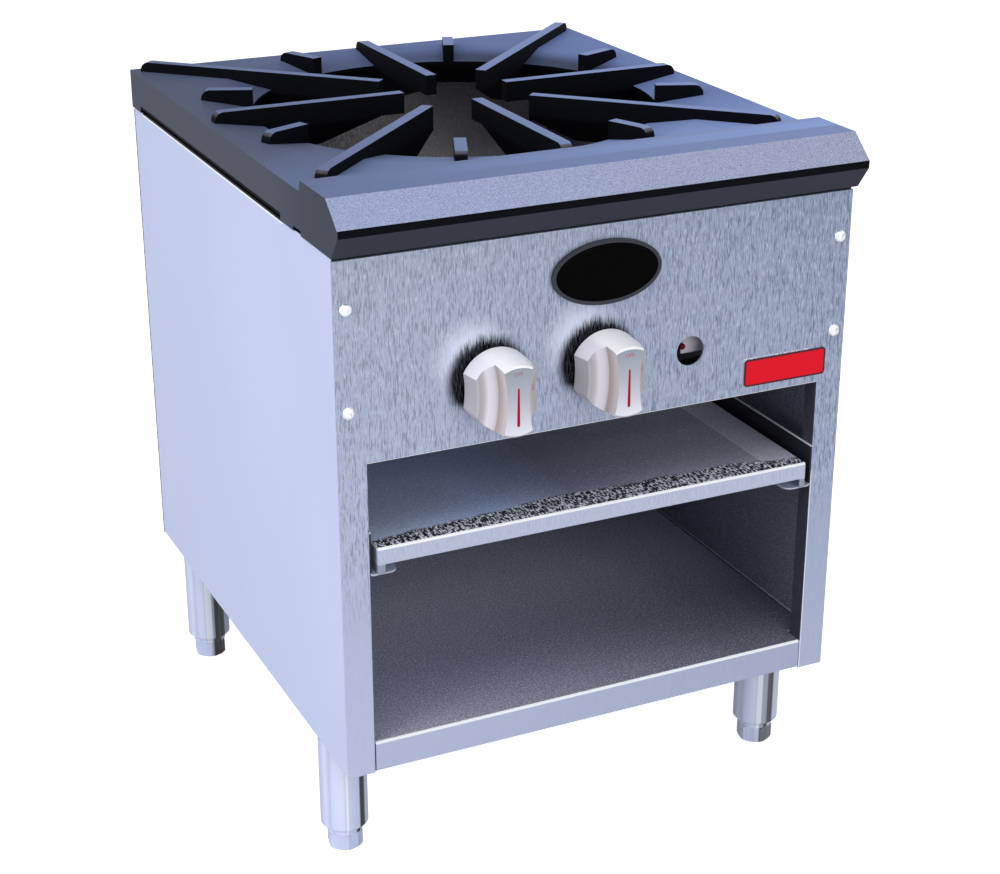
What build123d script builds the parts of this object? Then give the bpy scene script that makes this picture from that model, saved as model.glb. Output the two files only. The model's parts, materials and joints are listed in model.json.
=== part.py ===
from build123d import *
import math
import os

os.makedirs("parts", exist_ok=True)

# A single-burner stock pot range: a sheet-metal cabinet on four tube legs, open
# at the front over a sliding drip tray, under a one-piece cast-iron top whose
# sixteen fingers reach over a dished opening. Millimetres, +Z up, front at -Y.
# Every piece is drawn in the cabinet's own frame: x = 0 on the middle plane,
# y = 0 on the face of the front panel and growing to the rear, z = 0 on the
# underside of the cabinet. save() moves it to the frame of the whole range,
# whose origin is on the floor below the middle of its box.

# ---------------------------------------------------------------- cabinet
cabinet_width = 457.2
cabinet_depth = 520.7
cabinet_height = 445.0  # underside of the cabinet to the seat of the cast top
sheet = 1.2
front_sheet = 1.5
bend = 2.2  # radius of a fold, on the middle of the sheet
side_flange = 20.0
foot_flange = 45.0  # bottom flange of a side panel, wide enough for a leg
panel_drop = 3.0  # front and back panels stop this far below the cast top's seat
post_width = 24.1
lintel_drop = 169.0  # seat of the cast top down to the top of the opening
post_return = 16.0
lintel_return = 12.0
fit_gap = 0.3  # clearance between pieces that only lie side by side

# ---------------------------------------------------------------- floor pan
floor_height = 28.5
apron_bottom = 2.0
apron_gap = 0.8  # seam between the apron and a post
channel_front_y = 70.0
channel_rear_y = 450.0
channel_width = 60.0
channel_sheet = 1.5

# ---------------------------------------------------------------- legs and feet
leg_length = 108.0  # floor to cabinet, foot included
leg_inset = 21.1  # leg axis in from the side of the cabinet
leg_radius = 20.65
leg_wall = 1.6
leg_tube = 84.0
leg_taper = 5.0
leg_collar = 3.1  # straight neck below the taper
leg_neck_radius = 15.6
leg_plug = 25.0
leg_cap = 6.0
stud_radius = 6.0
stud_play = 0.1
leg_stud_length = 15.0
nut_width = 19.0
nut_height = 8.0
foot_width = 28.0
foot_turn = 20.0  # how far the hexagon of a foot is turned
foot_chamfer = 1.8
foot_stud_length = 39.0

# ---------------------------------------------------------------- drip tray
tray_drop = 95.2  # top of the opening down to the ledges that the tray slides on
tray_rise = 23.0  # ledges to the surface of the tray
tray_side_gap = 6.0
tray_depth = 470.0
tray_proud = 2.0  # lip in front of the front panel
lip_height = 14.6
lip_ear_width = 6.0
ledge_width = 24.5
ledge_corner = 8.0
rail_rise = 37.5
rail_depth = 505.0
rail_tab = 14.0

# ---------------------------------------------------------------- cast top
casting_overhang = 1.4  # past each side panel
casting_setback = 1.2  # short of the cabinet's rear face
casting_wall = 7.0
plate_rise = 35.0  # plate surface above the seat
nosing_rise = 44.0  # nosing and finger tops above the seat
nosing_tip_y = -3.9
nosing_nose_y = -17.8
nosing_nose_low = 18.8
nosing_nose_high = 25.0
nosing_front_y = 4.4
nosing_rear_y = 58.0
nosing_step = 3.0
dish_margin = 7.25  # dish to the nearest edges of the flat plate
dish_width = 43.0
dish_shift = 2.25  # opening in front of the middle of the plate
dish_depth = 7.0
skirt_depth = 27.6  # plate surface to the bottom edge of the ring below the hole
skirt_wall = 6.0
finger_width = 10.2
finger_nose = 8.0
finger_margin = 6.75  # outer ends of the fingers to the nearest edges of the plate
finger_shift = 3.0  # middle of the fingers behind the middle of the opening
front_shift = -3.5  # the same for the two front diagonals
straight_tip = 49.5
straight_tip_depth = 18.0
straight_heel = 70.6
straight_slope_end = 129.0
diagonal_tip = 69.6
front_tip_depth = 22.0
rear_tip_depth = 18.5
diagonal_heel = 72.5
diagonal_slope_end = 112.0
front_corner = 23.6  # end of a front diagonal in from the edges of the plate
rear_corner = 9.7
vent_height = 4.0
vent_front_y = 106.0
vent_rear_y = 491.0
notch_front_y = 60.0
notch_rear_y = 77.0

# ---------------------------------------------------------------- controls
axis_rise = 48.0  # opening to the valves, knobs and mixing tubes
valve_x = (-96.0, 0.0)  # left knob, right knob
knob_back_radius = 31.6
knob_front_radius = 29.2
knob_front_y = -42.0
knob_back_y = -2.0
knob_grip_half = 9.2
knob_waist_radius = 110.0
knob_side_half = 27.2
knob_corner_half = 25.0
knob_shoulder_half = 19.0
knob_shoulder_rise = 20.0  # front face to the shoulder beside the grip
knob_root_rise = 15.0  # front face to the root of the grip
knob_edge = 1.5
knob_hub_radius = 8.0
knob_hollow_radius = 19.0
knob_hollow_depth = 9.0
stem_radius = 4.0
stem_flat = 2.6
stem_front_y = -21.0
stem_back_y = 37.0
stem_play = 0.08
stem_hole_radius = 8.0
pilot_x = 79.3
pilot_hole_radius = 12.7
pilot_bracket_y = 14.0
pilot_bracket_left = -0.8  # from the middle of the access hole
pilot_bracket_right = 24.0
screw_inset = 10.1
screw_rise = (44.6, 127.0)  # above the opening
screw_head_radius = 5.25
screw_head_height = 2.9
screw_shank_radius = 2.1
badge_rise = 127.2
washer_height = 0.8
hexagon_radius = 3.4  # heads of the rear screws, across the flats
hexagon_height = 2.4
badge_half_width = 48.3
badge_half_height = 26.5
badge_rim = 3.1
badge_rim_height = 3.0
badge_dome = 2.2
name_plate_inset = (96.6, 17.6)  # its edges in from the side of the cabinet
name_plate_rise = (7.4, 31.2)
name_plate_thick = 1.0
name_plate_frame = 1.3
name_plate_corner = 3.0

# ---------------------------------------------------------------- gas train
pipe_radius = 13.34
pipe_bore = 10.5
manifold_y = 38.0
manifold_drop = 35.5  # below the valves
manifold_overrun = 44.0  # past the left valve
supply_inset = 42.6
bracket_overrun = 28.0  # left bracket past the left valve
bracket_setback = 20.0  # right bracket before the elbow
bracket_thick = 3.0
bracket_foot = 12.0  # half of the bracket's flat edge below the pipe
bracket_web = 17.0  # from the pipe's axis to the edges behind and above it
bracket_cut = 9.0
bracket_top = 24.0
cap_length = 14.0
cap_wall = 3.0
elbow_radius = 27.0
elbow_body = 17.0
inlet_stub = 25.0
inlet_thread = 19.0
inlet_thread_radius = 13.0
inlet_plate_size = 44.0
inlet_plate_thick = 2.0
boss_radius = 10.0
boss_drop = 18.0  # below the valves
valve_front_y = 16.0
valve_bonnet_y = 22.0
valve_back_y = 54.0
valve_bonnet_radius = 13.0
valve_barrel_radius = 11.0
valve_tail_radius = 8.0
valve_tail = 4.0
valve_step = 2.0  # sloping shoulders of the valve
valve_inlet_radius = 8.0
valve_nut_radius = 9.5
valve_nut_height = 6.0
hood_hex = 15.0
hood_hex_end = 66.0
hood_tip_y = 80.0
hood_radius = 6.4
hood_nose = 4.0
hood_nose_radius = 4.0
hood_wall = 3.0
orifice_radius = 0.9

# ---------------------------------------------------------------- burner
ring_rise = 28.0  # mixing tubes to the underside of the rings
ring_height = 28.0
ring_edge = 6.0
outer_ring_radius = 104.0
outer_ring_width = 26.0
middle_ring_radius = 68.0
middle_ring_width = 22.0
inner_ring_radius = 28.0
inner_ring_width = 24.0
arm_width = 18.0
arm_height = 16.0
mouth_y = 78.0
mouth_plate = 3.0
mouth_radius = 26.0
throat_y = 112.0
throat_radius = 16.0
throat_flare = 2.6
throat_run = 14.0
tube_end = 45.0  # last part of a mixing tube, at its full radius
tube_radius = 19.0
tube_wall = 3.5
hub_bore = 6.9
hub_radius = 8.6
shutter_thick = 1.2
shutter_play = 0.1  # round its hub
shutter_gap = 0.3  # to the mouth plate behind it
shutter_tab = (9.0, 14.0)
shutter_tab_corner = 2.0
shutter_tab_drop = 4.0
window_inner = 11.0
window_outer = 22.0
window_angle = 52.0
port_radius = 1.3
port_depth = 3.0
support_front_y = 121.0
support_front_drop = 38.0  # below the mixing tubes
support_front_rise = 17.0
support_front_foot = 14.0
support_front_shelf = 16.0
saddle_play = 1.6
support_rear_width = 26.0
support_rear_drop = 16.0
lug_width = 16.0
lug_height = 7.0
pilot_head_x = 62.0
pilot_head_ahead = 118.0  # in front of the middle of the burner
pilot_head_radius = 6.0
pilot_head_drop = 10.0  # below the tops of the rings
pilot_tube_radius = 3.2
pilot_tube_run = 40.0  # sloping part, in front of the pilot head
pilot_valve_front = 24.0
pilot_valve_shoulder = 30.0
pilot_valve_back = 52.0
pilot_valve_radius = 6.5
pilot_valve_nose = 5.0
pilot_valve_tail = 4.5
pilot_arm_width = 20.0

# ---------------------------------------------------------------- worked out
half_width = cabinet_width / 2
inner_half = half_width - sheet
opening_half = half_width - post_width
panel_top = cabinet_height - panel_drop
opening_top = cabinet_height - lintel_drop
screw_x = half_width - screw_inset
screw_z = [opening_top + rise for rise in screw_rise]
badge_z = opening_top + badge_rise
name_plate_x = [half_width - inset for inset in name_plate_inset]
name_plate_z = [opening_top + rise for rise in name_plate_rise]
ledge_top = opening_top - tray_drop
tray_top = ledge_top + tray_rise
tray_half_width = opening_half - tray_side_gap
leg_x = half_width - leg_inset
axis_height = opening_top + axis_rise
supply_x = half_width - supply_inset
manifold_left = valve_x[0] - manifold_overrun
manifold_z = axis_height - manifold_drop
boss_top = axis_height - boss_drop
inlet_end = cabinet_depth + inlet_stub
ring_bottom = axis_height + ring_rise
ring_top = ring_bottom + ring_height
arm_top = ring_bottom + arm_height
support_front_bottom = axis_height - support_front_drop
support_front_top = axis_height + support_front_rise
pilot_head_top = ring_top - pilot_head_drop
casting_half = half_width + casting_overhang
casting_back = cabinet_depth - casting_setback
plate_front = nosing_rear_y + nosing_step
plate_z = cabinet_height + plate_rise
finger_z = cabinet_height + nosing_rise
plate_half = min(casting_half, (casting_back - plate_front) / 2)
centre_y = (plate_front + casting_back) / 2 - dish_shift  # of the opening and the burner
dish_radius = plate_half - dish_margin
hole_radius = dish_radius - dish_width
pilot_head_y = centre_y - pilot_head_ahead
front_y = -(knob_front_y + inlet_end) / 2  # puts the middle of the box on y = 0
leg_places = {
    "front_left": (-leg_x, channel_front_y),
    "front_right": (leg_x, channel_front_y),
    "rear_left": (-leg_x, channel_rear_y),
    "rear_right": (leg_x, channel_rear_y),
}


# ---------------------------------------------------------------- helpers
def save(name, shape):
    """Writes one piece, moved from the cabinet's frame to the frame of the range."""
    moved = Pos(0, front_y, leg_length) * shape
    moved.label = name
    export_step(moved, f"parts/{name}.step")


def across(face, x0, x1):
    """Extrudes a section drawn in (y, z) from x0 to x1."""
    return extrude(Plane.YZ.offset(x0) * face, x1 - x0, dir=(1, 0, 0))


def along(face, y0, y1):
    """Extrudes a section drawn in (x, z) from y0 back to y1."""
    return extrude(Plane.XZ.offset(-y0) * face, y1 - y0, dir=(0, 1, 0))


def upward(face, z0, z1):
    """Extrudes a section drawn in (x, y) from z0 up to z1."""
    return extrude(Plane.XY.offset(z0) * face, z1 - z0, dir=(0, 0, 1))


def outline(*points):
    """A filled outline through the given points."""
    return Polygon(*points, align=None)


def folded(*points, gauge=sheet):
    """The section of a folded sheet along its middle line, with rounded folds."""
    return trace(FilletPolyline(*points, radius=bend), line_width=gauge)


def disc(x, y, radius):
    """A filled circle at (x, y) of the sketch."""
    return Pos(x, y) * Circle(radius)


def turned_up(x, y, *profile):
    """Revolves a profile of (radius, z) points about the vertical line at (x, y)."""
    return Pos(x, y, 0) * revolve(Plane.XZ * outline(*profile), Axis.Z)


def turned_back(x, z, *profile):
    """Revolves a profile of (radius, y) points about the line along Y at (x, z)."""
    return Pos(x, 0, z) * revolve(outline(*profile), Axis.Y)


def bar_back(x, z, radius, y0, y1):
    """A round bar along Y."""
    return along(disc(x, z, radius), y0, y1)


def bar_up(x, y, radius, z0, z1):
    """A round bar along Z."""
    return upward(disc(x, y, radius), z0, z1)


def mirrored(shape):
    """The same piece on the other side of the range."""
    return mirror(shape, about=Plane.YZ)


# ---------------------------------------------------------------- cabinet
def front_panel():
    """Control panel and the two posts in one sheet, folded back round the opening."""
    inner = opening_half + front_sheet
    low = opening_top + front_sheet
    high = panel_top - front_sheet
    frame = outline(
        (-half_width, 0),
        (-half_width, panel_top),
        (half_width, panel_top),
        (half_width, 0),
        (opening_half, 0),
        (opening_half, opening_top),
        (-opening_half, opening_top),
        (-opening_half, 0),
    )
    hollow = outline(
        (-half_width, 0),
        (-half_width, high),
        (half_width, high),
        (half_width, 0),
        (inner, 0),
        (inner, low),
        (-inner, low),
        (-inner, 0),
    )
    panel = along(frame, 0, side_flange) - along(hollow, front_sheet, side_flange)
    middle = (opening_top + low) / 2
    panel -= along(Pos(0, middle) * Rectangle(cabinet_width, 4 * front_sheet), lintel_return, side_flange)
    legs = Pos(0, opening_top / 2) * Rectangle(cabinet_width, opening_top)
    panel -= along(legs, post_return, side_flange)
    clear = half_width - side_flange - fit_gap
    for x in (-half_width, half_width):
        corner = Pos(x, panel_top) * Rectangle(2 * (half_width - clear), 4 * front_sheet)
        panel -= along(corner, front_sheet, side_flange)
    rims = panel.edges().filter_by(lambda e: e.center().Y < fit_gap and e.length > post_return)
    inside = rims.filter_by(lambda e: abs(e.center().X) < half_width - 1)
    panel = fillet(inside, front_sheet * 0.7)
    bottom = Rectangle(cabinet_width, 2 * (2 * bend + fit_gap))
    panel -= along(bottom, front_sheet, side_flange)
    holes = [disc(pilot_x, axis_height, pilot_hole_radius)]
    holes += [disc(x, axis_height, stem_hole_radius) for x in valve_x]
    holes += [disc(x, z, screw_shank_radius + fit_gap) for z in screw_z for x in (-screw_x, screw_x)]
    return panel - [along(hole, -front_sheet, 2 * front_sheet) for hole in holes]


def pan(block, open_side):
    """A sheet pan: the folds of a block rounded, hollowed from its open side."""
    mouth = block.faces().sort_by(open_side)[0]
    block = fillet(block.edges() - mouth.edges(), bend)
    return offset(block, -sheet, openings=block.faces().sort_by(open_side)[0])


def side_panel():
    """Right side: a sheet with a flange folded inwards on all four edges."""
    low, high = front_sheet, cabinet_depth - sheet
    inside = half_width - foot_flange
    edge = outline((low, 0), (low, cabinet_height), (high, cabinet_height), (high, 0))
    panel = pan(across(edge, inside, half_width), Axis.X)
    upper = outline((low, 2 * bend), (low, cabinet_height), (high, cabinet_height), (high, 2 * bend))
    panel -= across(upper, inside, half_width - side_flange)
    for z in screw_z:
        panel -= bar_back(screw_x, z, screw_shank_radius + fit_gap, 0, 3 * sheet)
    for z in back_screw_heights():
        panel -= bar_back(screw_x, z, screw_shank_radius + fit_gap, high - 2 * sheet, high)
    for y in (channel_front_y, channel_rear_y):
        panel -= bar_up(leg_x, y, stud_radius + fit_gap, -sheet, 2 * sheet)
    return panel


def back_screw_heights():
    """Three screws up each edge of the back panel."""
    edge = 2 * side_flange
    return (edge, panel_top / 2, panel_top - edge)


def back_panel():
    """Flat rear sheet with the hole for the gas inlet."""
    face = Pos(0, panel_top / 2) * Rectangle(cabinet_width, panel_top)
    face -= disc(supply_x, manifold_z, pipe_radius + 2 * fit_gap)
    for z in back_screw_heights():
        for x in (-screw_x, screw_x):
            face -= disc(x, z, screw_shank_radius + fit_gap)
    return along(face, cabinet_depth - sheet, cabinet_depth)


def floor_pan():
    """Floor with a folded apron between the posts and flanges down the sides."""
    mid = floor_height - sheet / 2
    rear = cabinet_depth - 3 * sheet
    shoulder = side_flange
    apron = folded((sheet / 2, apron_bottom), (sheet / 2, mid), (shoulder + sheet, mid))
    edge = inner_half - fit_gap - sheet / 2
    trough = folded((-edge, sheet + bend), (-edge, mid), (edge, mid), (edge, sheet + bend))
    half = opening_half - apron_gap
    return across(apron, -half, half) + along(trough, shoulder, rear)


def base_channel(y):
    """Channel across the cabinet that ties the sides and takes two legs."""
    half = channel_width / 2 - channel_sheet / 2
    low = sheet + channel_sheet / 2
    top = floor_height - sheet
    section = folded((y - half, top), (y - half, low), (y + half, low), (y + half, top), gauge=channel_sheet)
    end = inner_half - fit_gap - sheet - bend
    channel = across(section, -end, end)
    for x in (-leg_x, leg_x):
        channel -= bar_up(x, y, stud_radius + fit_gap, 0, low + channel_sheet)
    return channel


def leg(x, y):
    """Polished tube with a cap and stud above and a tapered, bored plug below."""
    neck = -(leg_tube + leg_taper + leg_collar)
    bore = stud_radius + stud_play
    inside = leg_radius - leg_wall
    return turned_up(
        x,
        y,
        (bore, neck),
        (leg_neck_radius, neck),
        (leg_neck_radius, neck + leg_collar),
        (leg_radius, -leg_tube),
        (leg_radius, 0),
        (stud_radius, 0),
        (stud_radius, leg_stud_length),
        (0, leg_stud_length),
        (0, -leg_cap),
        (inside, -leg_cap),
        (inside, neck + leg_plug),
        (bore, neck + leg_plug),
    )


def leg_nuts():
    """Four nuts on the studs of the legs, inside the channels."""
    seat = sheet + channel_sheet
    nuts = []
    for x, y in leg_places.values():
        section = RegularPolygon(nut_width / 2, 6, major_radius=False) - Circle(stud_radius + stud_play)
        nuts.append(upward(Pos(x, y) * section, seat, seat + nut_height))
    return Compound(children=nuts)


def foot(x, y):
    """Hexagon foot with chamfered ends and a screw up into the leg."""
    top = -(leg_tube + leg_taper + leg_collar) - fit_gap
    hexagon = RegularPolygon(foot_width / 2, 6, major_radius=False, rotation=foot_turn)
    corner = foot_width / math.sqrt(3)
    ends = turned_up(
        x,
        y,
        (0, -leg_length),
        (corner - foot_chamfer, -leg_length),
        (corner, foot_chamfer - leg_length),
        (corner, top - foot_chamfer / 2),
        (corner - foot_chamfer, top),
        (0, top),
    )
    body = upward(Pos(x, y) * hexagon, -leg_length, top) & ends
    return body + bar_up(x, y, stud_radius, top, top + foot_stud_length)


# ---------------------------------------------------------------- drip tray
def drip_tray():
    """Flat tray with flanges turned down all round and a shallower front lip."""
    front, rear = -tray_proud, tray_depth
    edge = outline((front, ledge_top), (front, tray_top), (rear, tray_top), (rear, ledge_top))
    tray = pan(across(edge, -tray_half_width, tray_half_width), Axis.Z)
    low, high = ledge_top - sheet, tray_top - lip_height
    ahead, behind = front - sheet, front + 2 * bend
    below = outline((ahead, low), (ahead, high), (behind, high), (behind, low))
    half = tray_half_width - lip_ear_width
    return tray - across(below, -half, half)


def tray_rail():
    """Right-hand angle that the tray slides on, with a rounded front corner."""
    outside = opening_half
    mid = ledge_top - sheet / 2
    section = folded(
        (outside - ledge_width, mid),
        (outside - sheet / 2, mid),
        (outside - sheet / 2, mid + rail_rise),
    )
    rail = along(section, fit_gap, rail_depth)
    corner = rail.edges().filter_by(Axis.Z).group_by(Axis.X)[0].sort_by(Axis.Y)[0]
    rail = fillet(corner, ledge_corner)
    rear = cabinet_depth - sheet
    tab = folded(
        (outside - sheet / 2, rail_depth - rail_tab),
        (outside - sheet / 2, rear - sheet / 2),
        (outside - rail_tab, rear - sheet / 2),
    )
    return rail + upward(tab, mid + bend, mid + rail_rise)


# ---------------------------------------------------------------- cast top
def finger(shift, angle, reach, *under):
    """Radial finger: level top, rounded outer end, and the given points below."""
    centre = (reach - finger_nose, finger_z - finger_nose)
    bulge = finger_nose * math.sqrt(0.5)
    start = (reach, centre[1])
    end = (centre[0], finger_z)
    foot = (reach, plate_z - casting_wall / 2)
    edges = ThreePointArc(start, (centre[0] + bulge, centre[1] + bulge), end)
    edges += Polyline(end, *under, foot, start)
    blade = extrude(Plane.XZ * make_face(edges), finger_width / 2, both=True)
    return Pos(0, centre_y + shift, 0) * Rot(0, 0, angle) * blade


def long_finger(shift, angle, reach, tip, tip_depth, heel, slope_end):
    """Finger over the opening, deeper towards the ring that it grows out of."""
    foot = plate_z - skirt_depth
    lag = shift * math.sin(math.radians(angle))
    inside = hole_radius + skirt_wall / 2 - lag
    return finger(
        shift,
        angle,
        reach,
        (tip, finger_z),
        (tip, finger_z - tip_depth),
        (heel, finger_z - tip_depth),
        (slope_end, foot),
        (inside, foot),
        (inside, plate_z - dish_depth - casting_wall / 2),
        (dish_radius - lag, plate_z - casting_wall / 2),
    )


def short_finger(shift, angle, reach):
    """Finger that ends flush with the opening and runs down the ring as a rib."""
    lag = shift * math.sin(math.radians(angle))
    face = hole_radius - fit_gap - lag
    inside = hole_radius + skirt_wall / 2 - lag
    foot = plate_z - skirt_depth + casting_wall
    return finger(
        shift,
        angle,
        reach,
        (face, finger_z),
        (face, foot),
        (inside, foot),
        (inside, plate_z - dish_depth - casting_wall / 2),
    )


def top_casting():
    """One-piece cast top: hollow plate with a front nosing, dish, ring and fingers."""
    seat = cabinet_height
    half = casting_half
    shell = outline(
        (nosing_tip_y, seat),
        (nosing_nose_y, seat + nosing_nose_low),
        (nosing_nose_y, seat + nosing_nose_high),
        (nosing_front_y, finger_z),
        (nosing_rear_y, finger_z),
        (plate_front, plate_z),
        (casting_back, plate_z),
        (casting_back, seat),
    )
    hollow = outline(
        (nosing_tip_y + 1.5 * casting_wall, seat - casting_wall),
        (nosing_tip_y + 1.5 * casting_wall, seat),
        (nosing_nose_y + casting_wall, seat + nosing_nose_low),
        (nosing_nose_y + casting_wall, seat + nosing_nose_high - casting_wall / 2),
        (nosing_front_y + casting_wall / 2, finger_z - casting_wall),
        (nosing_rear_y - casting_wall, finger_z - casting_wall),
        (nosing_rear_y, plate_z - casting_wall),
        (casting_back - casting_wall, plate_z - casting_wall),
        (casting_back - casting_wall, seat - casting_wall),
    )
    inner = half - casting_wall
    body = across(shell, -half, half) - across(hollow, -inner, inner)
    body -= bar_up(0, centre_y, dish_radius, plate_z - 2 * casting_wall, plate_z + casting_wall)
    lip_z = plate_z - dish_depth
    body += turned_up(
        0,
        centre_y,
        (hole_radius, plate_z - skirt_depth),
        (hole_radius + skirt_wall, plate_z - skirt_depth),
        (hole_radius + skirt_wall, lip_z - casting_wall),
        (dish_radius + casting_wall / 4, plate_z - casting_wall),
        (dish_radius + casting_wall / 4, plate_z),
        (dish_radius, plate_z),
        (hole_radius, lip_z),
    )
    reach = plate_half - finger_margin
    straight = (reach, straight_tip, straight_tip_depth, straight_heel, straight_slope_end)
    front = math.sqrt(2) * (plate_half - front_corner)
    rear = math.sqrt(2) * (plate_half - rear_corner)
    for turn in (0, 90, 180, 270):
        body += long_finger(finger_shift, turn, *straight)
    for turn in (45, 135):
        body += long_finger(
            finger_shift, turn, rear, diagonal_tip, rear_tip_depth, diagonal_heel, diagonal_slope_end
        )
        body += long_finger(
            front_shift, -turn, front, diagonal_tip, front_tip_depth, diagonal_heel, diagonal_slope_end
        )
    for step in range(8):
        body += short_finger(finger_shift, 22.5 + 45 * step, reach)
    for y0, y1 in ((vent_front_y, vent_rear_y), (notch_front_y, notch_rear_y)):
        slot = Pos((y0 + y1) / 2, seat + vent_height / 2) * Rectangle(y1 - y0, vent_height)
        body -= across(slot, -half, half)
    return body


# ---------------------------------------------------------------- controls
def knob(x):
    """Round knob scooped on both sides to leave a waisted grip bar in front."""
    blank = turned_back(
        x,
        axis_height,
        (0, knob_back_y),
        (knob_back_radius, knob_back_y),
        (knob_front_radius, knob_front_y + knob_edge),
        (knob_front_radius - knob_edge, knob_front_y),
        (0, knob_front_y),
    )
    reach = knob_waist_radius + knob_grip_half
    shoulder_y = knob_front_y + knob_shoulder_rise
    ahead = knob_front_y - knob_edge
    corner = (reach - knob_corner_half, shoulder_y)
    profile = outline(
        (0, knob_back_y),
        (reach - knob_side_half, knob_back_y),
        corner,
        (reach - knob_shoulder_half, shoulder_y),
        (knob_waist_radius, knob_front_y + knob_root_rise),
        (knob_waist_radius, ahead),
        (0, ahead),
    )
    rounded = fillet(profile.vertices().sort_by_distance(corner)[0], knob_edge)
    scoop = revolve(rounded, Axis.Y)
    for way in (-1, 1):
        blank -= Pos(x + way * reach, 0, axis_height) * scoop
    hollow_y = knob_back_y - knob_hollow_depth
    blank -= bar_back(x, axis_height, knob_hollow_radius, hollow_y, knob_back_y)
    hub = bar_back(x, axis_height, knob_hub_radius, hollow_y, knob_back_y)
    bore = along(stem_section(x, stem_radius + stem_play, stem_flat + stem_play), stem_front_y, knob_back_y)
    return blank + hub - bore


def stem_section(x, radius, flat):
    """The D-shaped section of a valve stem."""
    keep = Pos(x - radius + (radius + flat) / 2, axis_height) * Rectangle(radius + flat, 2 * radius)
    return disc(x, axis_height, radius) & keep


def valve_stem(x):
    """D-shaped stem from the valve through the panel into the knob."""
    round_end = bar_back(x, axis_height, stem_radius, knob_back_y, stem_back_y)
    return round_end + along(stem_section(x, stem_radius, stem_flat), stem_front_y + fit_gap, knob_back_y)


def gas_valve(x):
    """Brass valve on the manifold: bonnet, barrel, inlet leg and rear seat."""
    body = turned_back(
        x,
        axis_height,
        (stem_radius + stem_play, valve_front_y),
        (valve_bonnet_radius, valve_front_y),
        (valve_bonnet_radius, valve_bonnet_y),
        (valve_barrel_radius, valve_bonnet_y + valve_step),
        (valve_barrel_radius, valve_back_y - valve_tail - valve_step),
        (valve_tail_radius, valve_back_y - valve_tail),
        (valve_tail_radius, valve_back_y),
        (0, valve_back_y),
        (0, stem_back_y + fit_gap),
        (stem_radius + stem_play, stem_back_y + fit_gap),
    )
    leg_part = bar_up(x, manifold_y, valve_inlet_radius, boss_top, axis_height - valve_barrel_radius / 2)
    nut = Pos(x, manifold_y) * RegularPolygon(valve_nut_radius, 6, major_radius=False)
    return body + leg_part + upward(nut, boss_top, boss_top + valve_nut_height)


def orifice_hood(x):
    """Brass hood that meters the gas into the mouth of a mixing tube."""
    hexagon = Pos(x, axis_height) * RegularPolygon(hood_hex / 2, 6, major_radius=False)
    nose = turned_back(
        x,
        axis_height,
        (orifice_radius, hood_hex_end),
        (hood_radius, hood_hex_end),
        (hood_radius, hood_tip_y - hood_nose),
        (hood_nose_radius, hood_tip_y),
        (orifice_radius, hood_tip_y),
    )
    solid = along(hexagon, valve_back_y, hood_hex_end)
    solid -= bar_back(x, axis_height, hood_nose_radius, valve_back_y, hood_hex_end - hood_wall)
    solid -= bar_back(x, axis_height, orifice_radius, valve_back_y, hood_hex_end)
    return solid + nose


def panel_screws():
    """Four button-head screws with hexagon sockets through the posts."""
    screws = []
    for z in screw_z:
        for x in (-screw_x, screw_x):
            head = turned_back(
                x,
                z,
                (0, 0),
                (screw_head_radius, 0),
                (screw_head_radius, -0.7),
                (screw_head_radius * 0.86, -screw_head_height * 0.62),
                (screw_head_radius * 0.62, -screw_head_height * 0.93),
                (screw_head_radius * 0.4, -screw_head_height),
                (0, -screw_head_height),
            )
            socket = Pos(x, z) * RegularPolygon(screw_shank_radius * 0.8, 6, major_radius=False)
            shank = bar_back(x, z, screw_shank_radius, 0, 3 * sheet + front_sheet)
            screws.append(head - along(socket, -screw_head_height, -screw_head_height * 0.4) + shank)
    return Compound(children=screws)


def back_screws():
    """Six hexagon washer-head screws that hold the back panel."""
    screws = []
    for z in back_screw_heights():
        for x in (-screw_x, screw_x):
            seat = cabinet_depth + washer_height
            washer = bar_back(x, z, screw_head_radius, cabinet_depth, seat)
            hexagon = Pos(x, z) * RegularPolygon(hexagon_radius, 6, major_radius=False)
            head = along(hexagon, seat, seat + hexagon_height)
            shank = bar_back(x, z, screw_shank_radius, cabinet_depth - 4 * sheet, cabinet_depth)
            screws.append(washer + head + shank)
    return Compound(children=screws)


def badge_frame():
    """Raised oval rim of the badge."""
    face = Ellipse(badge_half_width, badge_half_height)
    face -= Ellipse(badge_half_width - badge_rim, badge_half_height - badge_rim)
    return along(Pos(0, badge_z) * face, -badge_rim_height, 0)


def badge_face():
    """Bare oval face of the badge with a rounded edge."""
    face = Pos(0, badge_z) * Ellipse(badge_half_width - badge_rim, badge_half_height - badge_rim)
    front = badge_rim_height / 2 + badge_dome
    plate = along(face, -front, 0)
    return fillet(plate.faces().sort_by(Axis.Y)[0].edges(), 0.9 * badge_dome)


def name_plate(inset, height):
    """Rounded blank plate, or its frame's outline where inset is 0."""
    width = name_plate_x[1] - name_plate_x[0] - 2 * inset
    tall = name_plate_z[1] - name_plate_z[0] - 2 * inset
    middle = (sum(name_plate_x) / 2, sum(name_plate_z) / 2)
    face = Pos(*middle) * RectangleRounded(width, tall, name_plate_corner - inset)
    return along(face, -height, 0)


# ---------------------------------------------------------------- gas train
def bracket_outline():
    """Gusset from the back of the front panel round the manifold, in (y, z)."""
    seat = opening_top + 2 * front_sheet
    low = manifold_z - bracket_web
    back = manifold_y + bracket_web
    return outline(
        (front_sheet, seat),
        (lintel_return + sheet, seat),
        (manifold_y - bracket_foot, low),
        (manifold_y + bracket_foot, low),
        (back, manifold_z - bracket_cut),
        (back, manifold_z + bracket_cut),
        (back - bracket_cut, manifold_z + bracket_web),
        (front_sheet, manifold_z + bracket_top),
    )


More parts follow.
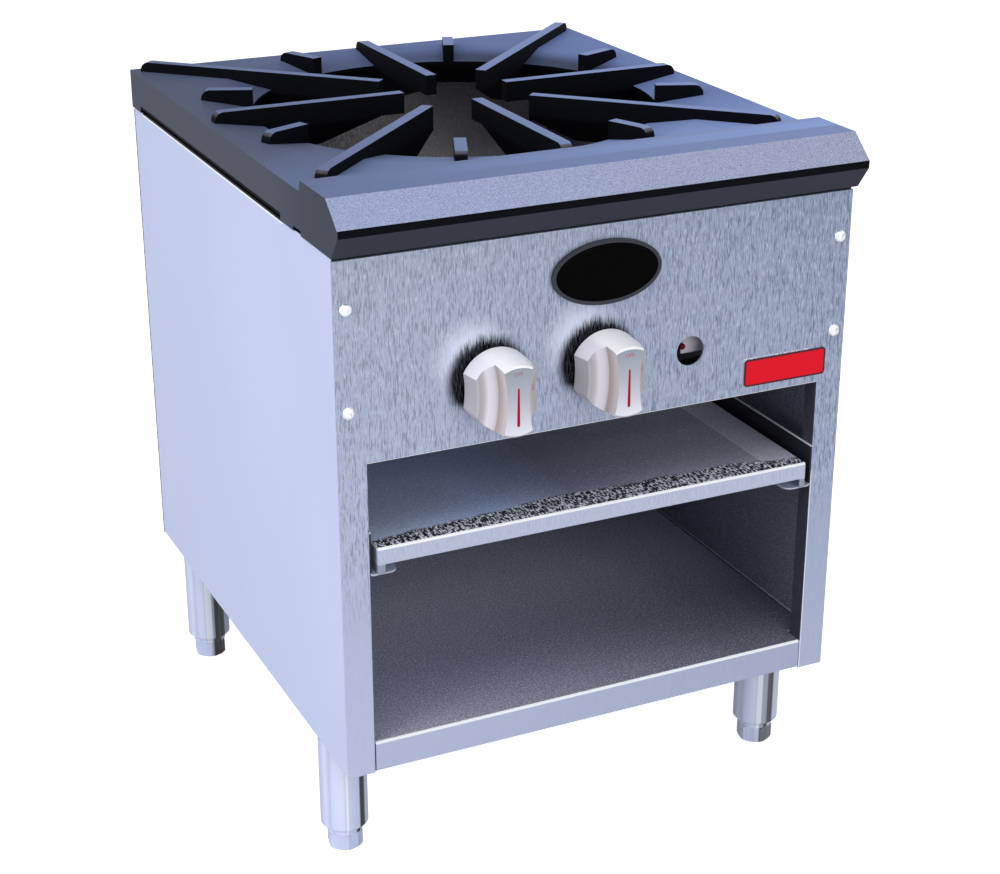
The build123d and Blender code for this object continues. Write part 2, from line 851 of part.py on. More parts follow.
def manifold_bracket(x):
    """Flat bracket that carries the manifold from the front panel."""
    face = bracket_outline() - disc(manifold_y, manifold_z, pipe_radius + fit_gap / 3)
    return across(face, x - bracket_thick / 2, x + bracket_thick / 2)


def manifold():
    """Horizontal gas pipe with a boss under each valve."""
    ring = disc(manifold_y, manifold_z, pipe_radius)
    pipe = across(ring, manifold_left, supply_x - elbow_radius)
    for x in valve_x:
        pipe += bar_up(x, manifold_y, boss_radius, manifold_z, boss_top)
    pipe += bar_up(pilot_x, manifold_y, boss_radius * 0.7, manifold_z, boss_top)
    return pipe - across(disc(manifold_y, manifold_z, pipe_bore), manifold_left, supply_x - elbow_radius)


def manifold_cap():
    """Hexagon cap on the closed end of the manifold."""
    face = Pos(manifold_y, manifold_z) * RegularPolygon(pipe_radius + cap_wall, 6, major_radius=False)
    return across(face, manifold_left - cap_length, manifold_left)


def supply_elbow():
    """Quarter bend from the manifold to the supply pipe."""
    ring = disc(manifold_y, manifold_z, elbow_body) - disc(manifold_y, manifold_z, pipe_bore)
    face = Plane.YZ.offset(supply_x - elbow_radius) * ring
    turn = Axis((supply_x - elbow_radius, manifold_y + elbow_radius, 0), (0, 0, 1))
    return revolve(face, turn, 90)


def supply_pipe():
    """Gas pipe down the right side, out through the back panel as the inlet."""
    shoulder = inlet_end - inlet_thread
    ring = disc(supply_x, manifold_z, pipe_radius) - disc(supply_x, manifold_z, pipe_bore)
    thread = disc(supply_x, manifold_z, inlet_thread_radius) - disc(supply_x, manifold_z, pipe_bore)
    return along(ring, manifold_y + elbow_radius, shoulder) + along(thread, shoulder, inlet_end)


def inlet_plate():
    """Plate inside the back panel that holds the supply pipe."""
    face = Pos(supply_x, manifold_z) * Rectangle(inlet_plate_size, inlet_plate_size)
    face -= disc(supply_x, manifold_z, pipe_radius + fit_gap / 3)
    rear = cabinet_depth - sheet
    return along(face, rear - inlet_plate_thick, rear)


# ---------------------------------------------------------------- burner
def burner_ring(radius, width):
    """Ring with a flat base and a crowned top, chamfered for the ports."""
    inside, outside = radius - width / 2, radius + width / 2
    return turned_up(
        0,
        centre_y,
        (inside, ring_bottom),
        (outside, ring_bottom),
        (outside, ring_top - ring_edge),
        (outside - ring_edge, ring_top),
        (inside + ring_edge, ring_top),
        (inside, ring_top - ring_edge),
    )


def ring_ports(radius, width, count):
    """Ports drilled square to the outer chamfer of a ring."""
    ports = []
    reach = radius + width / 2 - ring_edge / 2
    drill = Pos(reach, 0, ring_top - ring_edge / 2) * Rot(0, 45, 0) * Cylinder(port_radius, 2 * port_depth)
    for step in range(count):
        ports.append(Pos(0, centre_y, 0) * Rot(0, 0, 360 * (step + 0.5) / count) * drill)
    return ports


def mixing_tube(x, end_y):
    """Bell-mouthed tube along Y, open in front, with a windowed mouth plate."""
    wall = tube_wall
    tube = turned_back(
        x,
        axis_height,
        (0, end_y),
        (tube_radius, end_y),
        (tube_radius, end_y - tube_end),
        (throat_radius, throat_y),
        (throat_radius + throat_flare, throat_y - throat_run),
        (mouth_radius, mouth_y + mouth_plate),
        (mouth_radius, mouth_y),
        (0, mouth_y),
    )
    inside = turned_back(
        x,
        axis_height,
        (0, end_y - wall),
        (tube_radius - wall, end_y - wall),
        (tube_radius - wall, end_y - tube_end),
        (throat_radius - wall, throat_y),
        (throat_radius + throat_flare - wall, throat_y - throat_run),
        (mouth_radius - wall, mouth_y + mouth_plate),
        (0, mouth_y + mouth_plate),
    )
    hub_end = mouth_y - shutter_thick - 2 * shutter_gap
    hub = bar_back(x, axis_height, hub_radius, hub_end, mouth_y + mouth_plate)
    bore = bar_back(x, axis_height, hub_bore, hub_end, mouth_y + mouth_plate)
    return tube - inside + hub - bore - air_windows(x, 0, mouth_y, mouth_y + mouth_plate)


def air_windows(x, turn, y0, y1):
    """Three sector-shaped windows round the axis of a mixing tube."""
    reach, half_angle = 2 * window_outer, math.radians(window_angle / 2)
    sector = outline(
        (0, 0),
        (reach, -reach * math.tan(half_angle)),
        (reach, reach * math.tan(half_angle)),
    )
    window = (Circle(window_outer) - Circle(window_inner)) & sector
    faces = Sketch()
    for step in range(3):
        faces += Rot(0, 0, 90 + turn + 120 * step) * window
    return along(Pos(x, axis_height) * faces, y0, y1)


def air_shutter(x):
    """Turning disc in front of a mouth plate, with a tab to turn it by."""
    back = mouth_y - shutter_gap
    plate = disc(x, axis_height, mouth_radius) - disc(x, axis_height, hub_radius + shutter_play)
    tab_z = axis_height - mouth_radius - shutter_tab_drop
    tab = Pos(x, tab_z) * RectangleRounded(*shutter_tab, shutter_tab_corner)
    solid = along(plate + tab, back - shutter_thick, back)
    return solid - air_windows(x, 30, back - shutter_thick, back)


def burner_outer():
    """Outer casting: two rings tied by four arms, fed by the left mixing tube."""
    x = valve_x[0]
    riser_y = centre_y - math.sqrt(outer_ring_radius**2 - x**2)
    arms = upward(Rectangle(2 * outer_ring_radius, arm_width), ring_bottom, arm_top)
    arms += upward(Rectangle(arm_width, 2 * outer_ring_radius), ring_bottom, arm_top)
    arms = Rot(0, 0, 45) * arms - bar_up(0, 0, middle_ring_radius, ring_bottom, arm_top)
    body = burner_ring(outer_ring_radius, outer_ring_width)
    body += burner_ring(middle_ring_radius, middle_ring_width)
    body += Pos(0, centre_y, 0) * arms
    lug_length = middle_ring_radius - inner_ring_radius
    lug = Pos(0, centre_y + inner_ring_radius + lug_length / 2) * Rectangle(lug_width, lug_length)
    body += upward(lug, ring_bottom - lug_height, ring_bottom)
    body += bar_up(x, riser_y, tube_radius - tube_wall / 2, axis_height, ring_bottom + tube_wall)
    body += mixing_tube(x, riser_y + tube_radius)
    ports = ring_ports(outer_ring_radius, outer_ring_width, 24)
    return body - ports - ring_ports(middle_ring_radius, middle_ring_width, 16)


def burner_inner():
    """Inner casting: one ring fed by the middle mixing tube."""
    x = valve_x[1]
    riser_y = centre_y - inner_ring_radius
    body = burner_ring(inner_ring_radius, inner_ring_width)
    body += bar_up(x, riser_y, inner_ring_width / 2, axis_height, ring_bottom + tube_wall)
    body += mixing_tube(x, riser_y + tube_radius)
    return body - ring_ports(inner_ring_radius, inner_ring_width, 10)


def burner_support_front():
    """Folded cross rail with two saddles that the mixing tubes drop into."""
    y = support_front_y
    shelf = support_front_top - sheet / 2
    section = folded(
        (y + support_front_foot, support_front_bottom),
        (y, support_front_bottom),
        (y, shelf),
        (y + support_front_shelf, shelf),
    )
    rail = across(section, -inner_half, inner_half)
    near, far = y - bend, y + support_front_shelf + bend
    radius = throat_radius + saddle_play
    for x in valve_x:
        saddle = disc(x, axis_height, radius)
        saddle += Pos(x, (axis_height + support_front_top) / 2) * Rectangle(2 * radius, support_front_rise)
        wide = Pos(x, support_front_top) * Rectangle(2 * (tube_radius + fit_gap), 2 * bend)
        rail -= along(saddle + wide, near, far)
    notch = pipe_radius + saddle_play
    low = support_front_bottom - bend
    pipe_notch = disc(supply_x, manifold_z, notch)
    pipe_notch += Pos(supply_x, (manifold_z + low) / 2) * Rectangle(2 * notch, manifold_z - low)
    rail -= along(pipe_notch, near, far)
    return rail - bar_back(pilot_x, axis_height, pilot_tube_radius + saddle_play, near, y + bend)


def burner_support_rear():
    """Hat rail across the cabinet under the rear of the outer ring."""
    y = centre_y + outer_ring_radius
    half = support_rear_width / 2
    low = ring_bottom - support_rear_drop
    top = ring_bottom - sheet / 2
    section = folded((y - half, low), (y - half, top), (y + half, top), (y + half, low))
    return across(section, -inner_half, inner_half)


# ---------------------------------------------------------------- pilot
def pilot_valve():
    """Small brass valve on the manifold for the standing pilot."""
    front, shoulder, back = pilot_valve_front, pilot_valve_shoulder, pilot_valve_back
    neck = back - pilot_valve_radius
    body = turned_back(
        pilot_x,
        axis_height,
        (0, front),
        (pilot_valve_nose, front),
        (pilot_valve_nose, shoulder),
        (pilot_valve_radius, shoulder + 1),
        (pilot_valve_radius, neck - 1),
        (pilot_valve_tail, neck),
        (pilot_valve_tail, back),
        (0, back),
    )
    leg_part = bar_up(pilot_x, manifold_y, pilot_valve_nose, boss_top, axis_height)
    slot = Pos(pilot_x, axis_height) * Rectangle(sheet, 3 * pilot_valve_nose)
    return body + leg_part - along(slot, front, front + sheet)


def pilot_cap():
    """Small coloured cap clipped to the edge of the pilot bracket."""
    back, radius = pilot_bracket_y, 2.7
    return turned_back(
        pilot_x + pilot_bracket_left,
        axis_height,
        (0, back),
        (radius, back),
        (radius, back - radius),
        (0.8 * radius, back - 1.3 * radius),
        (0, back - 1.3 * radius),
    )


def pilot_bracket():
    """Folded steel tab behind the upper half of the access hole."""
    low = axis_height - 7
    high = axis_height + 22
    mid = pilot_bracket_y + sheet / 2
    section = folded((front_sheet, high), (mid, high), (mid, low))
    return across(section, pilot_x + pilot_bracket_left, pilot_x + pilot_bracket_right)


def pilot_tube():
    """Bent tube from the pilot valve back and up to the pilot head."""
    start = (pilot_x, pilot_valve_back, axis_height)
    turn = (pilot_x, pilot_head_y - pilot_tube_run, axis_height)
    under = (pilot_head_x, pilot_head_y, axis_height)
    end = (pilot_head_x, pilot_head_y, support_front_top + sheet)
    path = FilletPolyline(start, turn, under, end, radius=12)
    section = Plane(origin=start, z_dir=(0, 1, 0)) * Circle(pilot_tube_radius)
    return sweep(section, path=path)


def pilot_head():
    """Pilot burner at the edge of the outer ring."""
    low = support_front_top + sheet
    return turned_up(
        pilot_head_x,
        pilot_head_y,
        (0, low),
        (pilot_head_radius + 2, low),
        (pilot_head_radius + 2, low + 5),
        (pilot_head_radius, low + 7),
        (pilot_head_radius, pilot_head_top - 4),
        (pilot_head_radius - 2, pilot_head_top),
        (0, pilot_head_top),
    )


def pilot_arm():
    """Strip from the front cross rail that carries the pilot head."""
    end = pilot_head_y + pilot_head_radius
    face = Pos(pilot_head_x, (support_front_y + end) / 2) * Rectangle(pilot_arm_width, end - support_front_y)
    face -= disc(pilot_head_x, pilot_head_y, pilot_tube_radius + fit_gap)
    return upward(face, support_front_top, support_front_top + sheet)


# ---------------------------------------------------------------- build
right_side = side_panel()
right_rail = tray_rail()
pieces = {
    "front_panel": front_panel(),
    "side_panel_right": right_side,
    "side_panel_left": mirrored(right_side),
    "back_panel": back_panel(),
    "floor_pan": floor_pan(),
    "base_channel_front": base_channel(channel_front_y),
    "base_channel_rear": base_channel(channel_rear_y),
    "leg_nuts": leg_nuts(),
    "tray_rail_right": right_rail,
    "tray_rail_left": mirrored(right_rail),
    "drip_tray": drip_tray(),
    "top_casting": top_casting(),
    "panel_screws": panel_screws(),
    "back_screws": back_screws(),
    "badge_frame": badge_frame(),
    "badge_face": badge_face(),
    "name_plate_frame": name_plate(0, name_plate_thick) - name_plate(name_plate_frame, name_plate_thick),
    "name_plate": name_plate(name_plate_frame, name_plate_thick * 0.7),
    "manifold_pipe": manifold(),
    "manifold_cap": manifold_cap(),
    "manifold_bracket_left": manifold_bracket(valve_x[0] - bracket_overrun),
    "manifold_bracket_right": manifold_bracket(supply_x - elbow_radius - bracket_setback),
    "supply_elbow": supply_elbow(),
    "supply_pipe": supply_pipe(),
    "inlet_plate": inlet_plate(),
    "burner_outer": burner_outer(),
    "burner_inner": burner_inner(),
    "burner_support_front": burner_support_front(),
    "burner_support_rear": burner_support_rear(),
    "pilot_valve": pilot_valve(),
    "pilot_cap": pilot_cap(),
    "pilot_bracket": pilot_bracket(),
    "pilot_tube": pilot_tube(),
    "pilot_head": pilot_head(),
    "pilot_arm": pilot_arm(),
}
for side, x in zip(("left", "right"), valve_x):
    pieces[f"knob_{side}"] = knob(x)
    pieces[f"valve_stem_{side}"] = valve_stem(x)
    pieces[f"gas_valve_{side}"] = gas_valve(x)
    pieces[f"orifice_hood_{side}"] = orifice_hood(x)
    pieces[f"air_shutter_{side}"] = air_shutter(x)
for place, (x, y) in leg_places.items():
    pieces[f"leg_{place}"] = leg(x, y)
    pieces[f"foot_{place}"] = foot(x, y)
for name, shape in pieces.items():
    save(name, shape)
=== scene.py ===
import json
import math

import bpy
import numpy as np
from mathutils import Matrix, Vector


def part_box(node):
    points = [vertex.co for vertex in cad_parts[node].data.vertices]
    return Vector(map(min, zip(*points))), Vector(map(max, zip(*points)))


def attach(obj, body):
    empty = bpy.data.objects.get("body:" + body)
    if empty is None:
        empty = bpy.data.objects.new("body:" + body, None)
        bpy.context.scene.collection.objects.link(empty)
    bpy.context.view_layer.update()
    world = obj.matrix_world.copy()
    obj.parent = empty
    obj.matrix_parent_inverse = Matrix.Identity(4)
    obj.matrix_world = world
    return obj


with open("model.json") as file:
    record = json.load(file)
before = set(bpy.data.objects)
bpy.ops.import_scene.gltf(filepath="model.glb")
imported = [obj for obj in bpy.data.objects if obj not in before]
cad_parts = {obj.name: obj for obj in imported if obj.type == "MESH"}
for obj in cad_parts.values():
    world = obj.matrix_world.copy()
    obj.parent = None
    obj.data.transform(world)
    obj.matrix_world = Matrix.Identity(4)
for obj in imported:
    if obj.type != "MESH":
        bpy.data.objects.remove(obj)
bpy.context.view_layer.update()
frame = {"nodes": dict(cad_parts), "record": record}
nodes = frame["nodes"]
scene = bpy.context.scene

# Places that no node's box gives, in metres.
HOLE_MIDDLE = 0.03615  # middle of the cast top's hole, along Y
HOLE_RADIUS = 0.179
VENT = (-0.1459, 0.2391)  # front and rear ends of the slot under the cast top's sides
FINGER_RISE = 0.009  # from the cast plate to the tops of its fingers
LINTEL_DROP = 0.0074  # from the red plate's border down to the edge of the opening
PIPE_RADIUS = 0.01334  # gas supply pipe
WAIST = 0.1192  # from the knob's axis to the axis of the round scoop beside its grip
SHOULDER = 0.020  # from the grip's face back to the shoulder beside it


# ---------------------------------------------------------------- finishes
class Finish:
    """A named surface finish: one Principled shader and the patterns wired to it."""

    def __init__(self, name, colour, metal, rough, **sockets):
        self.material = bpy.data.materials.new(name)
        self.material.use_nodes = True
        self.material.diffuse_color = (*colour, 1)
        self.tree = self.material.node_tree
        self.shader = self.tree.nodes["Principled BSDF"]
        self.shader.inputs["Base Color"].default_value = (*colour, 1)
        self.shader.inputs["Metallic"].default_value = metal
        self.shader.inputs["Roughness"].default_value = rough
        for socket, value in sockets.items():
            self.shader.inputs[socket.replace("_", " ")].default_value = value

    def node(self, kind, inputs=(), **settings):
        """Adds a node; inputs are pairs of socket name or number and value or output."""
        made = self.tree.nodes.new(kind)
        for name, value in settings.items():
            setattr(made, name, value)
        for name, value in inputs:
            if isinstance(value, bpy.types.NodeSocket):
                self.tree.links.new(value, made.inputs[name])
            else:
                made.inputs[name].default_value = value
        return made

    def place(self, stretch=(1, 1, 1), shift=(0, 0, 0)):
        """The piece's own coordinates in metres, stretched and shifted."""
        where = self.node("ShaderNodeTexCoord").outputs["Object"]
        return self.node(
            "ShaderNodeMapping", [("Vector", where), ("Scale", stretch), ("Location", shift)]
        ).outputs[0]

    def axis(self, letter):
        """One of the piece's coordinates, in metres."""
        where = self.node("ShaderNodeTexCoord").outputs["Object"]
        return self.node("ShaderNodeSeparateXYZ", [(0, where)]).outputs[letter]

    def noise(self, stretch, detail=2.0, rough=0.5, shift=(0, 0, 0)):
        """Noise whose grains are 1 / stretch metres long each way, as a value about 0.5."""
        vector = self.place(stretch, shift)
        return self.node(
            "ShaderNodeTexNoise",
            [("Vector", vector), ("Scale", 1.0), ("Detail", detail), ("Roughness", rough)],
        ).outputs["Fac"]

    def remap(self, value, low, high, to_low=0.0, to_high=1.0, smooth=True):
        """A value taken from one range to another and held inside it."""
        return self.node(
            "ShaderNodeMapRange",
            [(0, value), (1, low), (2, high), (3, to_low), (4, to_high)],
            interpolation_type="SMOOTHSTEP" if smooth else "LINEAR",
        ).outputs[0]

    def rises(self, value, start, end):
        """0 up to start, rising smoothly to 1 at end."""
        return self.remap(value, start, end)

    def fades(self, value, start, end):
        """1 up to start, falling smoothly to 0 at end."""
        return self.remap(value, start, end, 1.0, 0.0)

    def sum(self, operation, one, two):
        """A sum, product or other plain reckoning of two values."""
        return self.node("ShaderNodeMath", [(0, one), (1, two)], operation=operation).outputs[0]

    def blend(self, factor, first, second):
        """A colour between two others."""
        mixer = self.node("ShaderNodeMix", data_type="RGBA")
        for name, value in (("Factor", factor), ("A", first), ("B", second)):
            kind = "VALUE" if name == "Factor" else "RGBA"
            socket = [s for s in mixer.inputs if s.name == name and s.type == kind][0]
            if isinstance(value, bpy.types.NodeSocket):
                self.tree.links.new(value, socket)
            else:
                socket.default_value = (*value, 1) if isinstance(value, tuple) else value
        return [s for s in mixer.outputs if s.type == "RGBA"][0]

    def wire(self, name, value):
        """Feeds a pattern to one of the shader's sockets."""
        self.tree.links.new(value, self.shader.inputs[name])

    def relief(self, height, depth, strength=1.0):
        """Raises the surface by a height pattern, depth in metres."""
        inputs = [("Height", height), ("Distance", depth), ("Strength", strength)]
        self.wire("Normal", self.node("ShaderNodeBump", inputs).outputs[0])

    def facing(self, letter):
        """How far the bare surface faces along one of the piece's axes, from -1 to 1."""
        bare = self.node("ShaderNodeTexCoord").outputs["Normal"]
        return self.node("ShaderNodeSeparateXYZ", [(0, bare)]).outputs[letter]

    def strip(self, value, low, high, soft):
        """1 where a value lies between low and high, fading to 0 over soft outside."""
        return self.both(self.rises(value, low - soft, low), self.fades(value, high, high + soft))

    def distance(self, *parts):
        """Length of a run with the given parts, such as across and up."""
        total = 0.0
        for part in parts:
            total = self.sum("ADD", total, self.sum("MULTIPLY", part, part))
        return self.sum("SQRT", total, 0.0)

    def ring(self, x, z, reach, soft):
        """1 inside a circle about (x, z) in the front view, fading to 0 over soft."""
        across = self.sum("SUBTRACT", self.axis("X"), x)
        up = self.sum("SUBTRACT", self.axis("Z"), z)
        return self.fades(self.distance(across, up), reach - soft, reach)

    def both(self, *values):
        """The product of several masks."""
        product = values[0]
        for value in values[1:]:
            product = self.sum("MULTIPLY", product, value)
        return product

    def bands(self, value, low, high, stops):
        """A colour read off a scale from low to high; stops are (place, colour) in order."""
        scale = self.node("ShaderNodeValToRGB")
        self.tree.links.new(self.remap(value, low, high, smooth=False), scale.inputs[0])
        elements = scale.color_ramp.elements
        elements.remove(elements[1])
        elements[0].color = (*stops[0][1], 1)
        elements[0].position = (stops[0][0] - low) / (high - low)
        for place, colour in stops[1:]:
            elements.new((place - low) / (high - low)).color = (*colour, 1)
        return scale.outputs[0]


def shade(red, green, blue):
    """A colour given as it shows on a screen, 0 to 255, as the shader's linear values."""
    parts = np.array((red, green, blue)) / 255
    return tuple(np.where(parts <= 0.04045, parts / 12.92, ((parts + 0.055) / 1.055) ** 2.4).tolist())


# black of painted shadow in the vent slot and under the cast top
SLOT_SHADOW_BLACK = (0.001, 0.001, 0.002)


def brushed_tones(f, across, up, strokes, fine):
    """Ground tone of the brushed panel with its strokes, painted light making it paler towards the lower
    left.
    """
    side = f.remap(across, -0.23, 0.23, smooth=False)
    rise = f.remap(up, 0.11, 0.55, smooth=False)
    # painted shade: darker upwards, under the cast top's nose, and towards the right
    upper = f.blend(side, shade(162, 169, 191), shade(144, 156, 179))
    lower = f.blend(side, shade(192, 199, 228), shade(180, 188, 215))
    base = f.blend(rise, lower, upper)
    deep = f.blend(side, shade(120, 126, 146), shade(88, 102, 132))
    dark = f.both(f.rises(strokes, 0.50, 0.62), f.remap(rise, 0.25, 0.5, 0.08, 0.72))
    base = f.blend(dark, base, deep)
    bright = f.both(f.remap(fine, 0.53, 0.64, 0.0, 0.62), f.remap(rise, 0.25, 0.5, 0.15, 1.0))
    return f.blend(bright, base, shade(203, 210, 230))


def knob_shadow(f, base, knob, across, up, streaked, fine, ahead):
    """A soft pale glow, then a black streaked shadow, above and to the left of a knob."""
    x, z = knob
    glow = f.ring(x - 0.020, z + 0.024, 0.040, 0.027)
    base = f.blend(f.both(glow, ahead, 0.72), base, shade(226, 232, 250))
    dx = f.sum("SUBTRACT", across, x - 0.0068)
    dz = f.sum("SUBTRACT", streaked, z + 0.0064)
    shadow = f.both(f.fades(f.distance(dx, dz), 0.0285, 0.0390), f.rises(up, z - 0.020, z - 0.009))
    shadow = f.both(shadow, ahead, f.remap(fine, 0.42, 0.62, 1.0, 0.93))
    return f.blend(shadow, base, (0.0, 0.0, 0.0005))


def brushed_panel(knobs, lintel, opening, floor, plate):
    """Upright-brushed stainless: short fine strokes, with painted light making it paler
    towards the lower left.

    A painted dark streaked shadow lies above and to the left of each knob, in a soft
    painted glow, and painted glints stand along the top of the red plate. The edges
    of the opening carry painted highlights, and the folds that face into the cabinet
    are dull and dark with painted shade.
    """
    f = Finish("brushed_panel", shade(165, 172, 195), 0.5, 0.42, Specular_IOR_Level=0.04)
    across, up = f.axis("X"), f.axis("Z")
    ahead = f.fades(f.facing("Y"), -0.7, -0.5)
    strokes = f.noise((1150, 1150, 95), 2.0, 0.62)
    fine = f.noise((1700, 1700, 130), 2.0, 0.6, (3, 5, 1))
    base = brushed_tones(f, across, up, strokes, fine)
    ragged = f.remap(f.noise((1400, 1400, 100), 2.0, 0.7, (4, 0, 2)), 0.3, 0.7, -0.0030, 0.0030)
    streaked = f.sum("ADD", up, ragged)
    for knob in knobs:
        base = knob_shadow(f, base, knob, across, up, streaked, fine, ahead)

    (plate_left, _, _), (plate_right, _, plate_top) = plate
    beside = f.strip(across, plate_left, plate_right - 0.016, 0.004)
    above = f.strip(up, plate_top, plate_top + 0.0020, 0.0012)
    glints = f.both(beside, above, ahead, f.rises(strokes, 0.42, 0.55))
    base = f.blend(glints, base, shade(236, 240, 255))

    # painted highlights along the edges of the opening
    below = f.fades(f.facing("Z"), -0.3, -0.1)
    edge = f.both(f.strip(up, lintel - 0.0002, lintel + 0.0010, 0.0003), below)
    base = f.blend(edge, base, (0.95, 0.96, 1.0))
    under_tray = f.fades(up, 0.295, 0.305)
    bend_highlight = f.both(f.strip(across, opening, opening + 0.0010, 0.0003), under_tray, ahead)
    base = f.blend(f.both(bend_highlight, 0.8), base, shade(236, 240, 252))

    # painted shade: the folds facing into the cabinet are dull and dark
    away = f.both(f.facing("X"), f.sum("SIGN", across, 0.0))
    beyond = f.rises(f.distance(across), opening - 0.004, opening - 0.002)
    inward_shade = f.both(f.fades(away, -0.8, -0.5), beyond, f.rises(up, floor - 0.001, floor))
    dull = f.blend(f.rises(fine, 0.35, 0.7), shade(70, 70, 81), shade(94, 95, 107))
    f.wire("Base Color", f.blend(inward_shade, base, dull))
    f.wire("Roughness", f.remap(strokes, 0.3, 0.7, 0.48, 0.34))
    f.relief(f.sum("ADD", strokes, f.both(fine, 0.5)), 0.00005, 0.5)
    return f


def side_sheet(outer, seat, floor):
    """Smooth pale blue sheet outside with a faint cloud of wear, dull and grainy inside,
    where painted shade makes it darker towards the bottom.

    Inside, a thin painted highlight follows the fold at the floor; outside, the top
    edge is painted shadow black under the cast top's vent slot, with a painted
    highlight line below the dark. What is tucked under the cast top is painted
    shadow black.
    """
    f = Finish("side_sheet", shade(200, 209, 242), 0.0, 0.36, Specular_IOR_Level=0.12)
    across, up = f.axis("X"), f.axis("Z")
    skin = f.rises(f.distance(across), outer - 0.0009, outer - 0.0006)
    away = f.both(f.facing("X"), f.sum("SIGN", across, 0.0))
    outside = f.sum("MAXIMUM", skin, f.rises(away, 0.02, 0.2))
    cloud = f.noise((4, 4, 3), 3.0)
    pale = f.blend(f.rises(cloud, 0.3, 0.7), shade(198, 207, 240), shade(202, 211, 243))

    grain = f.noise((900, 900, 900), 2.0, 0.65)
    # painted shade inside: darker towards the bottom
    rise = f.remap(up, 0.13, 0.33, smooth=False)
    dull = f.blend(rise, shade(116, 115, 131), shade(138, 140, 160))
    dull = f.blend(f.remap(grain, 0.40, 0.60, 0.5, 0.0), dull, shade(58, 58, 68))
    dull = f.blend(f.remap(grain, 0.52, 0.72, 0.0, 0.5), dull, shade(176, 178, 196))
    # painted highlight along the fold at the floor
    seam = f.strip(up, floor, floor + 0.0008, 0.0003)
    dull = f.blend(f.both(seam, 0.6), dull, shade(226, 228, 238))
    base = f.blend(outside, dull, pale)

    # painted highlight below the vent slot, painted shadow black in it and under the cast top
    along = f.strip(f.axis("Y"), *VENT, 0.001)
    rim = f.both(f.strip(up, seat - 0.0030, seat - 0.0018, 0.0004), along, outside)
    base = f.blend(rim, base, shade(248, 250, 255))
    slot = f.both(f.rises(up, seat - 0.0018, seat - 0.0014), along)
    tucked = f.both(f.rises(up, seat - 0.0036, seat - 0.0034), f.sum("SUBTRACT", 1.0, skin))
    f.wire("Base Color", f.blend(f.sum("MAXIMUM", slot, tucked), base, SLOT_SHADOW_BLACK))
    f.wire("Roughness", f.remap(grain, 0.3, 0.7, 0.32, 0.44))
    return f


def rear_sheet(outer):
    """Sheet with an upright grain: brown-grey seen through the cast top, pale outside."""
    f = Finish("rear_sheet", shade(130, 125, 122), 0.2, 0.5, Specular_IOR_Level=0.1)
    strokes = f.noise((1100, 1100, 380), 2.0, 0.7)
    inside = f.blend(f.rises(f.axis("X"), -0.08, 0.06), shade(108, 104, 108), shade(192, 187, 190))
    inside = f.blend(f.remap(strokes, 0.46, 0.62, 0.0, 0.6), inside, shade(232, 227, 226))
    grain = f.noise((900, 900, 90), 3.0, 0.7)
    outside = f.blend(f.rises(grain, 0.35, 0.65), shade(150, 157, 176), shade(186, 192, 212))
    behind = f.rises(f.axis("Y"), outer - 0.0008, outer - 0.0004)
    f.wire("Base Color", f.blend(behind, inside, outside))
    f.relief(strokes, 0.00005, 0.5)
    return f


